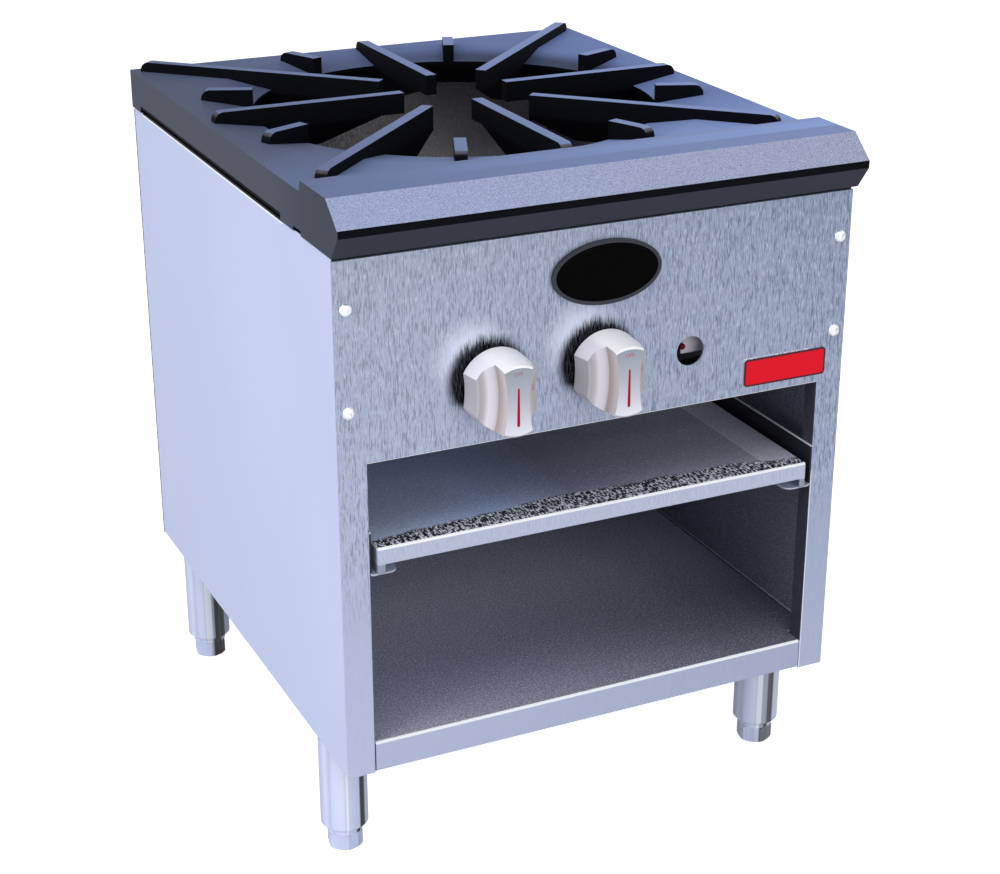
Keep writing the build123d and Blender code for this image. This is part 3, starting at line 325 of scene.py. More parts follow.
def tray_sheet(front, low, surface, half):
    """Dull tray with painted light: a blue painted sheen and sparks of painted glints at
    the left, and a strip of painted glints behind the lip.

    The lip is pale with a painted highlight along its top edge, and a thin painted
    highlight runs back near the right edge, where the bottom starts to rise and
    painted light makes it paler.
    """
    f = Finish("tray_sheet", shade(120, 124, 144), 0.0, 0.45, Specular_IOR_Level=0.2)
    across, back, up = f.axis("X"), f.axis("Y"), f.axis("Z")
    crease = 0.165
    grain = f.noise((620, 620, 620), 2.0, 0.7)
    # painted sheen: blue at the left, greyer to the middle, paler past the crease where painted light
    # falls on the rising bottom
    base = f.bands(across, -half, half, [
        (-half, shade(206, 224, 255)),
        (-0.09, shade(184, 206, 255)),
        (-0.01, shade(150, 155, 182)),
        (crease - 0.001, shade(172, 174, 192)),
        (crease + 0.001, shade(206, 208, 226)),
        (half, shade(206, 208, 226)),
    ])
    base = f.blend(f.remap(grain, 0.42, 0.60, 0.30, 0.0), base, shade(66, 74, 100))
    base = f.blend(f.remap(grain, 0.56, 0.74, 0.0, 0.6), base, shade(214, 220, 240))

    # painted glints: sparks on a patch at the left of the bottom
    level = f.rises(f.facing("Z"), 0.6, 0.8)
    beside = f.strip(across, -0.14, -0.10, 0.035)
    patch = f.both(beside, f.strip(back, front + 0.05, front + 0.105, 0.03))
    sparks = f.rises(f.noise((760, 300, 760), 2.0, 0.6, (7, 1, 3)), 0.58, 0.63)
    base = f.blend(f.both(patch, sparks, level), base, shade(214, 229, 255))

    # painted glints: a strip behind the lip where light falls, its depth varying across
    reach = f.bands(across, -half, half, [
        (-half, (0.017,) * 3),
        (-0.04, (0.030,) * 3),
        (0.12, (0.028,) * 3),
        (half, (0.013,) * 3),
    ])
    wander = f.remap(f.noise((34, 1, 1), 2.0), 0.3, 0.7, -0.002, 0.002)
    depth = f.sum("ADD", f.sum("SUBTRACT", back, front), wander)
    strip = f.fades(f.sum("SUBTRACT", depth, reach), -0.004, 0.001)
    glitter = f.rises(f.noise((560, 230, 230), 2.0, 0.75, (1, 4, 9)), 0.48, 0.59)
    glint_strip_colour = f.blend(glitter, shade(8, 10, 16), shade(232, 239, 255))
    base = f.blend(f.both(strip, level), base, glint_strip_colour)
    # painted highlight along the crease
    line = f.both(f.strip(across, crease, crease + 0.0005, 0.0003), level)
    base = f.blend(f.both(line, 0.8), base, shade(236, 238, 248))

    strokes = f.noise((1300, 1300, 110), 2.0, 0.6)
    lip = f.blend(f.rises(strokes, 0.35, 0.65), shade(182, 188, 212), shade(198, 204, 228))
    # painted highlight along the lip's top edge
    lip = f.blend(f.strip(up, surface - 0.0016, surface + 0.001, 0.0008), lip, (0.96, 0.97, 1.0))
    lip = f.blend(f.fades(up, low + 0.0078, low + 0.0082), lip, shade(150, 154, 174))
    rim = f.both(f.fades(f.facing("Y"), -0.35, -0.15), f.fades(back, front + 0.003, front + 0.004))
    fold = f.rises(f.distance(f.facing("X")), 0.5, 0.8)
    f.wire("Base Color", f.blend(f.sum("MAXIMUM", rim, fold), base, lip))
    f.wire("Roughness", f.remap(grain, 0.3, 0.7, 0.38, 0.55))
    f.relief(grain, 0.00005, 0.4)
    return f


def floor_sheet(front, surface):
    """Dull fine-grained floor, paler towards the back and the left with painted light, with painted
    glints near its pale folded apron.
    """
    f = Finish("floor_sheet", shade(150, 151, 168), 0.0, 0.45, Specular_IOR_Level=0.2)
    across, back, up = f.axis("X"), f.axis("Y"), f.axis("Z")
    grain = f.noise((600, 600, 600), 2.0, 0.7)
    side = f.remap(across, -0.16, 0.16, smooth=False)
    # painted light: paler towards the back and the left
    near = f.blend(side, shade(202, 202, 226), shade(116, 116, 134))
    far = f.blend(side, shade(242, 243, 255), shade(200, 200, 222))
    base = f.blend(f.rises(back, -0.20, 0.0), near, far)
    base = f.blend(f.remap(grain, 0.44, 0.62, 0.5, 0.0), base, shade(66, 66, 80))
    base = f.blend(f.remap(grain, 0.56, 0.74, 0.0, 0.5), base, shade(226, 228, 240))

    # painted glints near the apron, fewer towards the left
    sparks = f.rises(f.noise((900, 900, 900), 1.0, 0.5, (2, 6, 1)), 0.66, 0.74)
    close = f.fades(back, front + 0.006, front + 0.050)
    close = f.both(close, f.remap(across, -0.19, -0.02, 0.35, 1.0))
    base = f.blend(f.both(sparks, close), base, shade(240, 243, 252))

    apron = f.fades(f.facing("Y"), -0.35, -0.15)
    strokes = f.noise((1300, 1300, 110), 2.0, 0.6)
    pale = f.blend(side, shade(184, 190, 220), shade(170, 178, 208))
    pale = f.blend(f.remap(strokes, 0.35, 0.65, 0.0, 0.15), pale, shade(208, 211, 226))
    # painted highlight along the apron's top edge
    pale = f.blend(f.strip(up, surface - 0.0016, surface + 0.001, 0.0006), pale, (0.96, 0.97, 1.0))
    f.wire("Base Color", f.blend(apron, base, pale))
    f.wire("Roughness", f.remap(grain, 0.3, 0.7, 0.38, 0.55))
    f.relief(grain, 0.00005, 0.4)
    return f


def rail_sheet(low, high):
    """Dark dull angle in painted shade; its top edge and the front of its ledge carry painted
    highlights.
    """
    f = Finish("rail_sheet", shade(96, 97, 108), 0.0, 0.4, Specular_IOR_Level=0.2)
    up = f.axis("Z")
    grain = f.noise((900, 900, 900), 2.0, 0.7)
    base = f.blend(f.remap(grain, 0.5, 0.8, 0.0, 0.4), shade(34, 35, 42), shade(62, 63, 72))
    # painted highlight on the front of the ledge
    front = f.fades(f.axis("Y"), -0.236, -0.232)
    ledge = f.both(f.fades(up, low + 0.002, low + 0.003), front)
    base = f.blend(ledge, base, shade(190, 195, 216))
    # painted highlight along the top edge
    base = f.blend(f.rises(up, high - 0.0012, high - 0.0008), base, shade(232, 234, 244))
    f.wire("Base Color", base)
    f.relief(grain, 0.00004, 0.4)
    return f


def cast_tops_lit(f, side, across, back, up, reach, speckle, nose, plate):
    """Painted light on the cast top's level faces: sheen on plate, nosing, fingers and chamfer."""
    # painted sheen, paler towards the front and the right
    front_tone = f.blend(side, shade(100, 114, 150), shade(146, 169, 224))
    rear_tone = f.blend(side, shade(80, 87, 110), shade(112, 133, 187))
    top = f.blend(f.rises(back, -0.19, -0.04), front_tone, rear_tone)
    # painted shade about the fingers' feet behind the hole
    near = f.fades(reach, HOLE_RADIUS + 0.010, HOLE_RADIUS + 0.04)
    near = f.both(near, f.rises(back, 0.0, 0.12), f.remap(across, -0.02, 0.12, 0.3, 0.8))
    top = f.blend(near, top, shade(34, 38, 50))

    # painted sheen on the nosing, its slope and the fingers' tops, paler towards the right
    nosing = f.fades(back, nose + 0.044, nose + 0.050)
    top = f.blend(nosing, top, f.blend(side, shade(103, 117, 155), shade(131, 149, 196)))
    slope = f.both(f.rises(f.facing("Y"), 0.04, 0.12), f.fades(back, -0.205, -0.200))
    top = f.blend(slope, top, f.blend(side, shade(122, 137, 178), shade(152, 173, 223)))
    fingers = f.both(f.rises(up, plate + 0.004, plate + 0.0085), f.rises(back, -0.205, -0.200))
    top = f.blend(fingers, top, f.blend(side, shade(100, 111, 146), shade(142, 160, 210)))
    top = f.blend(f.remap(speckle, 0.5, 0.7, 0.0, 0.16), top, shade(176, 188, 220))

    # painted shade on the fingers' rounded ends, darker towards the left
    lean = f.facing("Z")
    round_end = f.both(f.strip(lean, -0.2, 0.82, 0.08), f.rises(lean, 0.05, 0.2))
    behind = f.both(f.rises(up, plate + 0.0005, plate + 0.001), f.rises(back, -0.212, -0.208))
    end_shade = f.blend(side, shade(50, 48, 54), shade(128, 123, 134))
    end_shade = f.blend(f.rises(speckle, 0.42, 0.6), end_shade, shade(96, 92, 100))
    top = f.blend(f.both(round_end, behind), top, end_shade)

    # painted light on the tilted chamfer, speckled
    tilted = f.both(f.fades(f.facing("Y"), -0.5, -0.3), f.fades(back, -0.242, -0.240))
    chamfer = f.blend(side, shade(136, 145, 176), shade(138, 143, 168))
    bright = f.blend(side, shade(168, 178, 212), shade(174, 180, 208))
    return f.blend(tilted, top, f.blend(f.rises(speckle, 0.38, 0.62), chamfer, bright))


def cast_uprights_shaded(f, outer, across, back, up, grain, plate):
    """Painted shade on the cast top's upright faces: near-black, with dull grey sides and bevel in
    painted light, and painted shadow black along the vent slot.
    """
    base = f.blend(f.remap(grain, 0.4, 0.7, 0.0, 0.5), shade(9, 10, 15), shade(22, 23, 30))
    # painted light on the outer sides
    flank = f.rises(f.distance(across), outer - 0.0006, outer - 0.0002)
    grey = f.blend(f.rises(back, -0.24, -0.10), shade(68, 72, 84), shade(80, 84, 96))
    base = f.blend(flank, base, grey)
    # painted shadow black along the vent slot
    slot = f.both(f.strip(back, *VENT, 0.001), f.fades(up, plate - 0.0287, plate - 0.0283))
    base = f.blend(slot, base, SLOT_SHADOW_BLACK)
    bevel = f.blend(f.rises(grain, 0.4, 0.7), shade(58, 59, 70), shade(68, 70, 82))
    return f.blend(f.strip(f.facing("Z"), -0.85, -0.25, 0.08), base, bevel)


def cast_iron(outer, nose, plate):
    """Fine-grained blue-black cast iron with painted light and shade: level faces pale
    with painted sheen, upright ones near-black with painted shade.

    The painted sheen on the plate pales towards the front and the right, as it does on
    the nosing's top and its speckled chamfer; the outer sides are a painted-light dull
    grey; the nose is black with a dark grey bevel under it, and the walls down the hole
    are painted shadow black.
    """
    f = Finish("cast_iron", shade(60, 64, 80), 0.0, 0.55, Specular_IOR_Level=0.03)
    across, back, up = f.axis("X"), f.axis("Y"), f.axis("Z")
    grain = f.noise((1300, 1300, 1300), 2.0, 0.65)
    speckle = f.noise((1000, 1000, 1000), 2.0, 0.75, (5, 2, 8))
    side = f.remap(across, -outer, outer, smooth=False)
    reach = f.distance(across, f.sum("SUBTRACT", back, HOLE_MIDDLE))
    tops = cast_tops_lit(f, side, across, back, up, reach, speckle, nose, plate)
    uprights = cast_uprights_shaded(f, outer, across, back, up, grain, plate)
    # painted light and shade by facing: level faces pale, upright ones dark
    base = f.blend(f.rises(f.facing("Z"), 0.45, 0.75), uprights, tops)
    # painted shade down the walls of the hole
    deep = f.fades(up, plate - 0.012, plate - 0.008)
    inside = f.fades(reach, HOLE_RADIUS + 0.001, HOLE_RADIUS + 0.003)
    f.wire("Base Color", f.blend(f.both(deep, inside, 0.9), base, shade(3, 3, 5)))
    f.wire("Roughness", f.remap(grain, 0.3, 0.7, 0.46, 0.64))
    f.relief(grain, 0.0001, 0.5)
    return f


def burner_iron():
    """Rough black burner casting with a brown heat tint."""
    f = Finish("burner_iron", shade(40, 38, 37), 0.0, 0.7, Specular_IOR_Level=0.2)
    grain = f.noise((700, 700, 700), 3.0, 0.6)
    heat = f.noise((30, 30, 30), 2.0)
    base = f.blend(f.rises(heat, 0.35, 0.7), shade(30, 30, 31), shade(60, 50, 45))
    f.wire("Base Color", f.blend(f.rises(grain, 0.5, 0.8), base, shade(86, 82, 80)))
    f.relief(grain, 0.0003, 0.6)
    return f


def tube_finish(name, place, turn, stops, rough, shine):
    """Polished round piece with upright stripes of painted reflection, set by the angle
    about its own axis.

    Stops run from -1, its left edge, to 1, its right edge, as it is seen from turn
    degrees left of the front; the rear half repeats the front.
    """
    f = Finish(name, shade(200, 208, 238), 0.0, rough, Specular_IOR_Level=shine)
    turn = math.radians(turn)
    dx = f.sum("SUBTRACT", f.axis("X"), place[0])
    dy = f.sum("SUBTRACT", f.axis("Y"), place[1])
    right = f.sum("ADD", f.both(dx, math.cos(turn)), f.both(dy, -math.sin(turn)))
    away = f.sum("ADD", f.both(dx, math.sin(turn)), f.both(dy, math.cos(turn)))
    along = f.sum("DIVIDE", right, f.distance(right, away))
    # painted reflections: stripes read off the angle about the axis
    stripes = f.bands(along, -1.0, 1.0, [(where, pale_blue(level)) for where, level in stops])
    haze = f.noise((400, 400, 6), 2.0)
    soft = f.blend(f.remap(haze, 0.3, 0.7, 0.0, 0.10), stripes, shade(244, 248, 255))
    f.wire("Base Color", soft)
    f.wire("Roughness", f.remap(haze, 0.3, 0.7, 0.8 * rough, 1.3 * rough))
    return f


def pale_blue(level):
    """Grey of a given level with the bluish cast of a painted reflection on polished steel."""
    return shade(min(238, 1.075 * level), min(245, 1.115 * level), min(255, 1.28 * level))


def leg_reflection_stripes(white, tone, dark):
    """Painted reflection stripes: pale ones, a white one, then a band of the given tone and a near-black
    one.
    """
    return (
        (-1.00, 165),
        (-0.86, 190),
        (-0.74, 202),
        (-0.60, 182),
        (-0.44, 200),
        (white[0] - 0.12, 206),
        (white[0] - 0.04, 188),
        (white[0], 238),
        (white[1], 238),
        (white[1] + 0.06, tone),
        (dark[0] - 0.05, tone),
        (dark[0], 26),
        (dark[1], 30),
        (dark[1] + 0.05, 178),
        (1.00, 186),
    )


def foot_reflection_stripes(facet, level):
    """Painted reflection: pale, with a facet of the given level from a place to the right edge."""
    return ((-1.0, 176), (-0.7, 194), (0.0, 188), (facet - 0.05, 199), (facet, level), (1.0, level))


def polished_metal(name, colour, rough):
    """Polished metal with faint turning marks and a little haze."""
    f = Finish(name, colour, 1.0, rough)
    haze = f.noise((60, 60, 400), 2.0)
    f.wire("Roughness", f.remap(haze, 0.3, 0.7, rough * 0.7, rough * 1.6))
    dull = tuple(0.9 * c for c in colour)
    f.wire("Base Color", f.blend(f.rises(haze, 0.3, 0.7), dull, colour))
    return f


def plated_steel():
    """Zinc-plated sheet: faint spangle and small scratches."""
    f = Finish("plated_steel", (0.48, 0.49, 0.51), 0.6, 0.4)
    cells = f.node("ShaderNodeTexVoronoi", [("Vector", f.place((160, 160, 160)))]).outputs["Distance"]
    f.wire("Base Color", f.blend(f.rises(cells, 0.0, 0.8), (0.42, 0.43, 0.46), (0.60, 0.61, 0.64)))
    scratch = f.noise((900, 120, 900), 2.0)
    f.wire("Roughness", f.remap(scratch, 0.3, 0.7, 0.3, 0.5))
    f.relief(scratch, 0.00003, 0.4)
    return f


def brass():
    """Machined brass, duller where it has tarnished."""
    f = Finish("machined_brass", (0.78, 0.58, 0.28), 1.0, 0.3)
    stain = f.noise((90, 90, 90), 3.0)
    f.wire("Base Color", f.blend(f.rises(stain, 0.35, 0.7), (0.80, 0.60, 0.30), (0.52, 0.36, 0.17)))
    f.wire("Roughness", f.remap(stain, 0.3, 0.7, 0.22, 0.45))
    return f


def black_pipe():
    """Black-lacquered gas pipe with an uneven skin."""
    f = Finish("black_pipe", (0.03, 0.03, 0.033), 0.0, 0.45)
    skin = f.noise((220, 220, 220), 3.0)
    f.wire("Base Color", f.blend(f.rises(skin, 0.4, 0.7), (0.02, 0.02, 0.022), (0.055, 0.053, 0.052)))
    f.relief(skin, 0.0001, 0.5)
    return f


def knob_shell(name, x, axis_z, front, crown_left):
    """Pearly moulded knob whose tones are painted light and shade, set by how far a place
    is from the grip's waist.

    Painted highlight on the white crown, a grey side wall, a bright painted column
    beside the grip, beige flanks in painted shade, and a front face whose painted
    shading pales downwards.
    """
    f = Finish(name, shade(214, 210, 216), 0.0, 0.3, Specular_IOR_Level=0.12)
    up, back = f.axis("Z"), f.axis("Y")
    out = f.distance(f.sum("SUBTRACT", f.axis("X"), x))
    from_scoop = f.distance(f.sum("SUBTRACT", WAIST, out), f.sum("SUBTRACT", up, axis_z))
    width = f.sum("SUBTRACT", WAIST, from_scoop)
    # painted light and shade across the grip, shoulder and side wall
    base = f.bands(width, 0.006, 0.030, [
        (0.0093, shade(198, 192, 198)),
        (0.0120, shade(220, 217, 226)),
        (0.0165, shade(224, 221, 232)),
        (0.0188, shade(198, 194, 202)),
        (0.0225, shade(179, 175, 179)),
        (0.0250, shade(185, 181, 187)),
        (0.0285, shade(197, 195, 201)),
    ])
    depth = f.sum("SUBTRACT", back, front)
    # painted shade on the flanks, darker further back
    flank = f.blend(f.rises(depth, 0.002, 0.014), shade(204, 196, 195), shade(178, 166, 163))
    base = f.blend(f.fades(width, 0.0096, 0.0100), base, flank)
    # painted highlight on the crown, greyer at its left
    side = f.fades(f.facing("X"), -0.5, 0.1)
    lit = f.blend(side, shade(252, 251, 255), crown_left)
    base = f.blend(f.rises(f.facing("Z"), 0.30, 0.42), base, lit)
    base = f.blend(f.rises(f.facing("Z"), 0.80, 0.95), base, shade(254, 253, 255))
    # painted shading on the front face, paler downwards
    shine = f.bands(up, axis_z - 0.030, axis_z + 0.030, [
        (axis_z - 0.028, shade(240, 240, 252)),
        (axis_z - 0.014, shade(214, 215, 226)),
        (axis_z + 0.004, shade(186, 189, 200)),
        (axis_z + 0.026, shade(158, 166, 177)),
    ])
    face = f.both(f.fades(f.facing("Y"), -0.95, -0.8), f.fades(depth, 0.001, 0.004))
    base = f.blend(face, base, shine)
    f.wire("Base Color", base)
    grain = f.noise((900, 900, 900), 2.0)
    f.wire("Roughness", f.remap(grain, 0.3, 0.7, 0.26, 0.36))
    f.relief(grain, 0.00001, 0.3)
    return f


def moulded(name, colour, rough, grain_size=1800, depth=0.00003, **sockets):
    """Moulded or lacquered surface with a fine even grain."""
    f = Finish(name, colour, 0.0, rough, **sockets)
    grain = f.noise((grain_size,) * 3, 2.0)
    dull = tuple(0.88 * c for c in colour)
    f.wire("Base Color", f.blend(f.rises(grain, 0.3, 0.7), dull, colour))
    f.wire("Roughness", f.remap(grain, 0.3, 0.7, rough * 0.85, rough * 1.2))
    f.relief(grain, depth, 0.4)
    return f


def corner(name, side):
    """Lowest (0) or highest (1) corner of a node's box, in metres."""
    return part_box(name)[side]


def middle(name):
    """Middle of a node's box, in metres."""
    low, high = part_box(name)
    return [(a + b) / 2 for a, b in zip(low, high)]


knob_z = middle("knob_left")[2]
knob_front = corner("knob_left", 0)[1]
knob_x = {name: middle(name)[0] for name in ("knob_left", "knob_right")}
lintel_z = corner("name_plate_frame", 0)[2] - LINTEL_DROP
outer = corner("side_panel_right", 1)[0]
tray_low, tray_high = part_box("drip_tray")
floor_low, floor_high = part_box("floor_pan")
rail_low, rail_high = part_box("tray_rail_right")
cast_low, cast_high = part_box("top_casting")
knob_places = [(x, knob_z) for x in knob_x.values()]
finishes = {
    "panel_stainless": brushed_panel(
        knob_places, lintel_z, rail_high[0], floor_high[2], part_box("name_plate")
    ),
    "side_steel": side_sheet(outer, cast_low[2], floor_high[2]),
    "inner_steel": rail_sheet(rail_low[2], rail_high[2]),
    "rear_steel": rear_sheet(corner("back_panel", 1)[1]),
    "cast_top": cast_iron(cast_high[0], cast_low[1], cast_high[2] - FINGER_RISE),
    "burner_iron": burner_iron(),
    "screw_steel": polished_metal("polished_screw", (0.90, 0.92, 0.97), 0.3),
    "badge_rim": moulded("badge_rim", shade(66, 67, 75), 0.4, 900, Specular_IOR_Level=0.06),
    "badge_black": moulded("badge_black", (0.0012, 0.0012, 0.0012), 0.35, Specular_IOR_Level=0.02),
    "plate_red": moulded("plate_red", shade(240, 24, 44), 0.4, Specular_IOR_Level=0.08),
    "plate_dark": moulded("plate_border", shade(84, 42, 54), 0.5, Specular_IOR_Level=0.08),
    "brass": brass(),
    "pipe_black": black_pipe(),
    "zinc_steel": plated_steel(),
    "pilot_aluminium": polished_metal("drawn_aluminium", (0.75, 0.76, 0.77), 0.25),
    "cap_red": moulded("cap_red", (0.11, 0.006, 0.008), 0.4, Specular_IOR_Level=0.1),
}
special = {
    "pilot_bracket": moulded("pale_tab", shade(222, 214, 224), 0.45, 900, Specular_IOR_Level=0.1),
    "drip_tray": tray_sheet(tray_low[1], tray_low[2], tray_high[2], tray_high[0]),
    "floor_pan": floor_sheet(floor_low[1], floor_high[2]),
}
# painted shade on the left of each knob's crown
crown_left = {"knob_left": shade(240, 238, 246), "knob_right": shade(230, 226, 232)}
for name, x in knob_x.items():
    shell = name.replace("knob", "knob_shell")
    special[name] = knob_shell(shell, x, knob_z, knob_front, crown_left[name])
# painted reflections on each leg and foot: turn, shine, leg stripes, foot stripes
leg_painted_reflections = {
    "front_left": (20, 0.15, leg_reflection_stripes((0.10, 0.15), 190, (0.67, 0.82)), foot_reflection_stripes(0.8, 170)),
    "front_right": (34, 0.9, leg_reflection_stripes((0.10, 0.28), 146, (0.56, 0.74)), foot_reflection_stripes(0.34, 74)),
    "rear_left": (16, 0.5, leg_reflection_stripes((-0.12, 0.14), 150, (0.31, 0.72)), foot_reflection_stripes(0.28, 20)),
    "rear_right": (27, 0.5, leg_reflection_stripes((0.10, 0.28), 146, (0.56, 0.74)), foot_reflection_stripes(0.4, 66)),
}
for where, (turn, shine, leg, foot) in leg_painted_reflections.items():
    place = middle(f"leg_{where}")
    special[f"leg_{where}"] = tube_finish(f"polished_leg_{where}", place, turn, leg, 0.2, shine)
    special[f"foot_{where}"] = tube_finish(f"polished_foot_{where}", place, turn, foot, 0.25, shine)
slot_of = {part["node"]: part["material_slot"] for part in frame["record"]["subparts"]}
for name, piece in nodes.items():
    finish = special.get(name) or finishes[slot_of[name]]
    piece.data.materials.clear()
    piece.data.materials.append(finish.material)


# ---------------------------------------------------------------- marks on the knobs
def surface(name, points, faces, finish, body, slot):
    """Puts points and faces into a mesh that rides on a body."""
    mesh = bpy.data.meshes.new(name)
    mesh.from_pydata(points.tolist(), [], faces.tolist())
    mesh.update()
    mesh.materials.append(finish.material)
    piece = bpy.data.objects.new(name, mesh)
    scene.collection.objects.link(piece)
    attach(piece, body)
    return piece


def grid_faces(rows, columns):
    """Four-cornered faces of a grid whose points run row by row."""
    first = (np.arange(rows - 1)[:, None] * columns + np.arange(columns - 1)).ravel()
    return np.stack([first, first + 1, first + columns + 1, first + columns], 1)


def pointer(name, x, finish, body):
    """Raised line down the grip's face, narrower towards the top.

    With u and v from -1 to 1, a point is at x + half(v) u across and middle + v
    length / 2 up, and stands proud by rise (1 - u^4)(1 - v^8) - sunk; half falls by
    two fifths from bottom to top. The middle lies drop below the knob's axis.
    """
    half, length, rise, sunk, drop = 0.0016, 0.034, 0.00012, 0.00005, 0.0045
    v, u = np.meshgrid(np.linspace(-1, 1, 41), np.linspace(-1, 1, 13), indexing="ij")
    across = x + half * (1 - 0.2 * (1 + v)) * u
    up = knob_z - drop + v * length / 2
    proud = knob_front + sunk - rise * (1 - u**4) * (1 - v**8)
    points = np.stack([across, proud, up], -1).reshape(-1, 3)
    return surface(name, points, grid_faces(41, 13), finish, body, "cap_red")


def pipe_thread(name, finish, body):
    """Right-hand thread wound round the end of the gas inlet.

    With t from 0 to 1 along the thread and s from edge to -edge across its ridge, a
    point stands at angle 2 pi turns t, at start + pitch (turns t + s / 2) along the
    pipe and at root + height (1 - |s| / edge) fade(t) from its axis; fade is 0 at both
    ends. The thread stops bare short of the pipe's end.
    """
    high = corner("supply_pipe", 1)
    axis_x, axis_z = middle("supply_pipe")[0], high[2] - PIPE_RADIUS
    pitch, turns, root, height, edge, bare = 0.00181, 9.5, 0.01293, 0.00040, 0.8, 0.0008
    start = high[1] - bare - pitch * turns
    t, s = np.meshgrid(np.linspace(0, 1, 457), np.linspace(edge, -edge, 9), indexing="ij")
    angle = 2 * np.pi * turns * t
    fade = np.clip(np.minimum(t, 1 - t) * turns * 2, 0, 1)
    reach = root + height * (1 - np.abs(s) / edge) * fade
    along = start + pitch * (turns * t + s / 2)
    points = np.stack([axis_x + reach * np.sin(angle), along, axis_z + reach * np.cos(angle)], -1)
    return surface(name, points.reshape(-1, 3), grid_faces(457, 9), finish, body, "pipe_black")


def lettering(name, words, place, height, turned, finish, body):
    """Flat printed word facing the front, upright or turned to read downwards."""
    text = bpy.data.curves.new(name, "FONT")
    text.body = words
    text.align_x = text.align_y = "CENTER"
    text.size = height * 1.4
    text.extrude = 0.00004
    holder = bpy.data.objects.new(name, text)
    scene.collection.objects.link(holder)
    bpy.context.view_layer.update()
    graph = bpy.context.evaluated_depsgraph_get()
    shape = bpy.data.meshes.new_from_object(holder.evaluated_get(graph))
    bpy.data.objects.remove(holder)
    count = len(shape.vertices)
    flat = np.empty(count * 3)
    shape.vertices.foreach_get("co", flat)
    right, up, out = flat.reshape(-1, 3).T
    if turned:
        right, up = up, -right
    points = np.stack([place[0] + right, place[1] - out, place[2] + up], -1)
    shape.vertices.foreach_set("co", points.ravel())
    shape.update()
    shape.name = name
    shape.materials.append(finish.material)
    piece = bpy.data.objects.new(name, shape)
    scene.collection.objects.link(piece)
    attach(piece, body)
    return piece


red_paint = moulded("red_paint", shade(172, 24, 44), 0.45, 1800, 0.00001, Specular_IOR_Level=0.1)
faded_paint = moulded("faded_red_paint", shade(196, 96, 108), 0.5, 1800, 0.00001, Specular_IOR_Level=0.1)
for name, x in knob_x.items():
    pointer(f"pointer_{name}", x, red_paint, name)
    off_place = (x, knob_front, knob_z + 0.0228)
    on_place = (x + 0.0216, knob_front + SHOULDER, knob_z + 0.002)
    lettering(f"off_{name}", "OFF", off_place, 0.0031, False, faded_paint, name)
    lettering(f"on_{name}", "ON", on_place, 0.0026, True, faded_paint, name)
pipe_thread("inlet_thread", finishes["pipe_black"], "cabinet")


# ---------------------------------------------------------------- studio
def studio_floor():
    """A plain pale floor, white to the camera and to reflections but for the soft shadow."""
    size = 12.0
    mesh = bpy.data.meshes.new("studio_floor")
    corners = np.array([(-1, -1, 0), (1, -1, 0), (1, 1, 0), (-1, 1, 0)], float) * size
    mesh.from_pydata(corners.tolist(), [], [(0, 1, 2, 3)])
    floor = bpy.data.objects.new("studio_floor", mesh)
    scene.collection.objects.link(floor)
    paint = bpy.data.materials.new("studio_floor")
    paint.use_nodes = True
    tree = paint.node_tree
    shader = tree.nodes["Principled BSDF"]
    shader.inputs["Base Color"].default_value = (0.8, 0.8, 0.8, 1)
    shader.inputs["Roughness"].default_value = 0.9
    shader.inputs["Specular IOR Level"].default_value = 0.0
    glow = tree.nodes.new("ShaderNodeEmission")
    glow.inputs["Color"].default_value = (1, 1, 1, 1)
    path = tree.nodes.new("ShaderNodeLightPath")
    mirrored = tree.nodes.new("ShaderNodeMath")
    mirrored.operation = "MULTIPLY"
    mirrored.inputs[1].default_value = 0.25
    tree.links.new(path.outputs["Is Glossy Ray"], mirrored.inputs[0])
    level = tree.nodes.new("ShaderNodeMath")
    level.operation = "MULTIPLY_ADD"
    level.inputs[1].default_value = 0.86
    tree.links.new(path.outputs["Is Camera Ray"], level.inputs[0])
    tree.links.new(mirrored.outputs[0], level.inputs[2])
    tree.links.new(level.outputs[0], glow.inputs["Strength"])
    both = tree.nodes.new("ShaderNodeAddShader")
    tree.links.new(shader.outputs[0], both.inputs[0])
    tree.links.new(glow.outputs[0], both.inputs[1])
    tree.links.new(both.outputs[0], tree.nodes["Material Output"].inputs["Surface"])
    mesh.materials.append(paint)


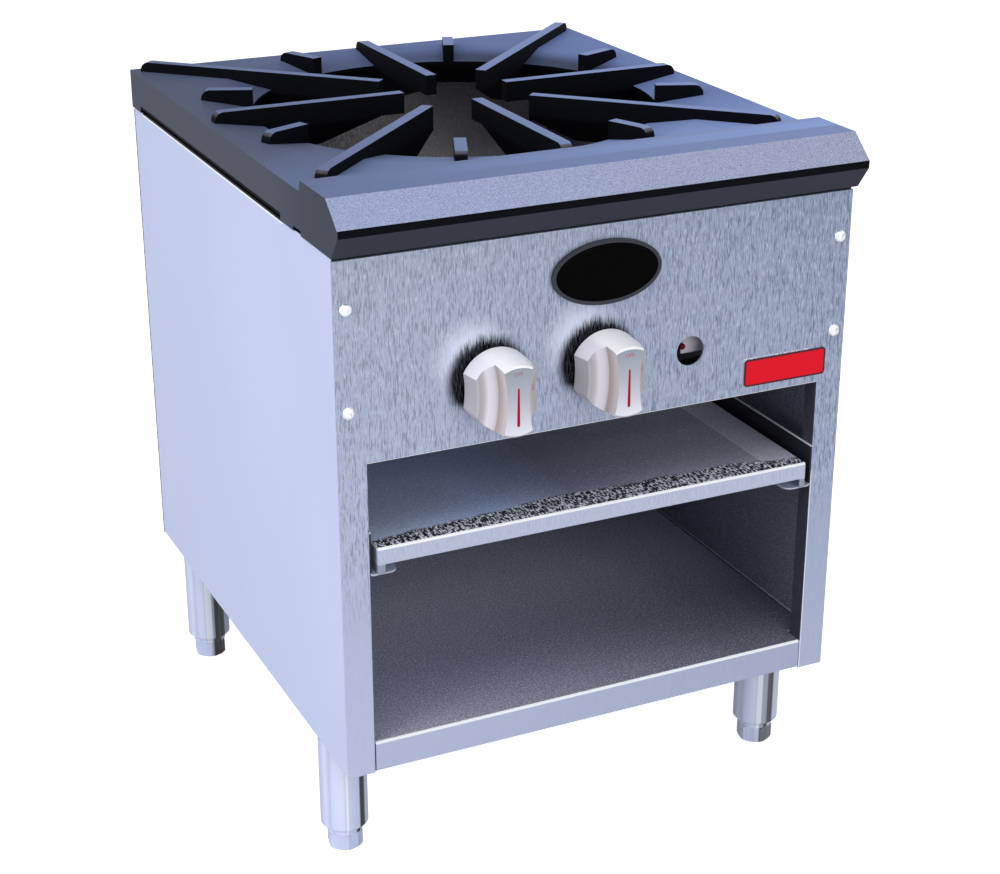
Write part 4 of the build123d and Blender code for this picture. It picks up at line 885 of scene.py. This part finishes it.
def studio_air():
    """White to the camera and to reflections, a plain grey fill for everything else."""
    air = bpy.data.worlds.new("studio_air")
    air.use_nodes = True
    tree = air.node_tree
    tree.nodes.clear()
    path = tree.nodes.new("ShaderNodeLightPath")
    either = tree.nodes.new("ShaderNodeMath")
    either.operation = "MAXIMUM"
    tree.links.new(path.outputs["Is Camera Ray"], either.inputs[0])
    tree.links.new(path.outputs["Is Glossy Ray"], either.inputs[1])
    any_ray = tree.nodes.new("ShaderNodeMath")
    any_ray.operation = "MAXIMUM"
    tree.links.new(either.outputs[0], any_ray.inputs[0])
    tree.links.new(path.outputs["Is Transmission Ray"], any_ray.inputs[1])
    fill = tree.nodes.new("ShaderNodeBackground")
    fill.inputs["Color"].default_value = (0.93, 0.95, 1.0, 1)
    fill.inputs["Strength"].default_value = 0.40
    white = tree.nodes.new("ShaderNodeBackground")
    white.inputs["Color"].default_value = (1, 1, 1, 1)
    white.inputs["Strength"].default_value = 1.0
    mix = tree.nodes.new("ShaderNodeMixShader")
    tree.links.new(any_ray.outputs[0], mix.inputs[0])
    tree.links.new(fill.outputs[0], mix.inputs[1])
    tree.links.new(white.outputs[0], mix.inputs[2])
    out = tree.nodes.new("ShaderNodeOutputWorld")
    tree.links.new(mix.outputs[0], out.inputs[0])
    scene.world = air


def soft_box(name, place, aim, width, height, power, colour=(1, 1, 1)):
    """A rectangular studio lamp at place, turned to face aim."""
    lamp = bpy.data.lights.new(name, "AREA")
    lamp.shape = "RECTANGLE"
    lamp.size = width
    lamp.size_y = height
    lamp.energy = power
    lamp.color = colour
    box = bpy.data.objects.new(name, lamp)
    box.location = place
    direction = np.array(aim, float) - np.array(place, float)
    flat = math.hypot(direction[0], direction[1])
    box.rotation_euler = (math.atan2(flat, -direction[2]), 0, math.atan2(-direction[0], direction[1]))
    scene.collection.objects.link(box)
    return box


studio_floor()
studio_air()
soft_box("key_left", (-2.6, -0.6, 1.6), (0, 0, 0.3), 2.0, 2.0, 38)
soft_box("fill_front", (0.5, -3.0, 1.2), (0, 0, 0.3), 2.4, 2.0, 28)
soft_box("top_front", (-0.4, -0.8, 2.6), (0, 0, 0.5), 2.0, 1.6, 15)


# ---------------------------------------------------------------- camera
def photo_camera():
    """The photo's view: fitted place, turn and lens, with the middle of the frame on axis."""
    lens = bpy.data.cameras.new("photo_camera")
    lens.sensor_fit = "HORIZONTAL"
    lens.sensor_width = 36.0
    lens.lens = 72.81
    lens.clip_start = 0.05
    lens.clip_end = 60.0
    camera = bpy.data.objects.new("photo_camera", lens)
    camera.location = (-0.72103, -1.58164, 1.00436)
    camera.rotation_euler = (math.radians(90 - 22.774), 0, math.radians(-25.316))
    scene.collection.objects.link(camera)
    scene.camera = camera


photo_camera()
scene.view_settings.view_transform = "Standard"
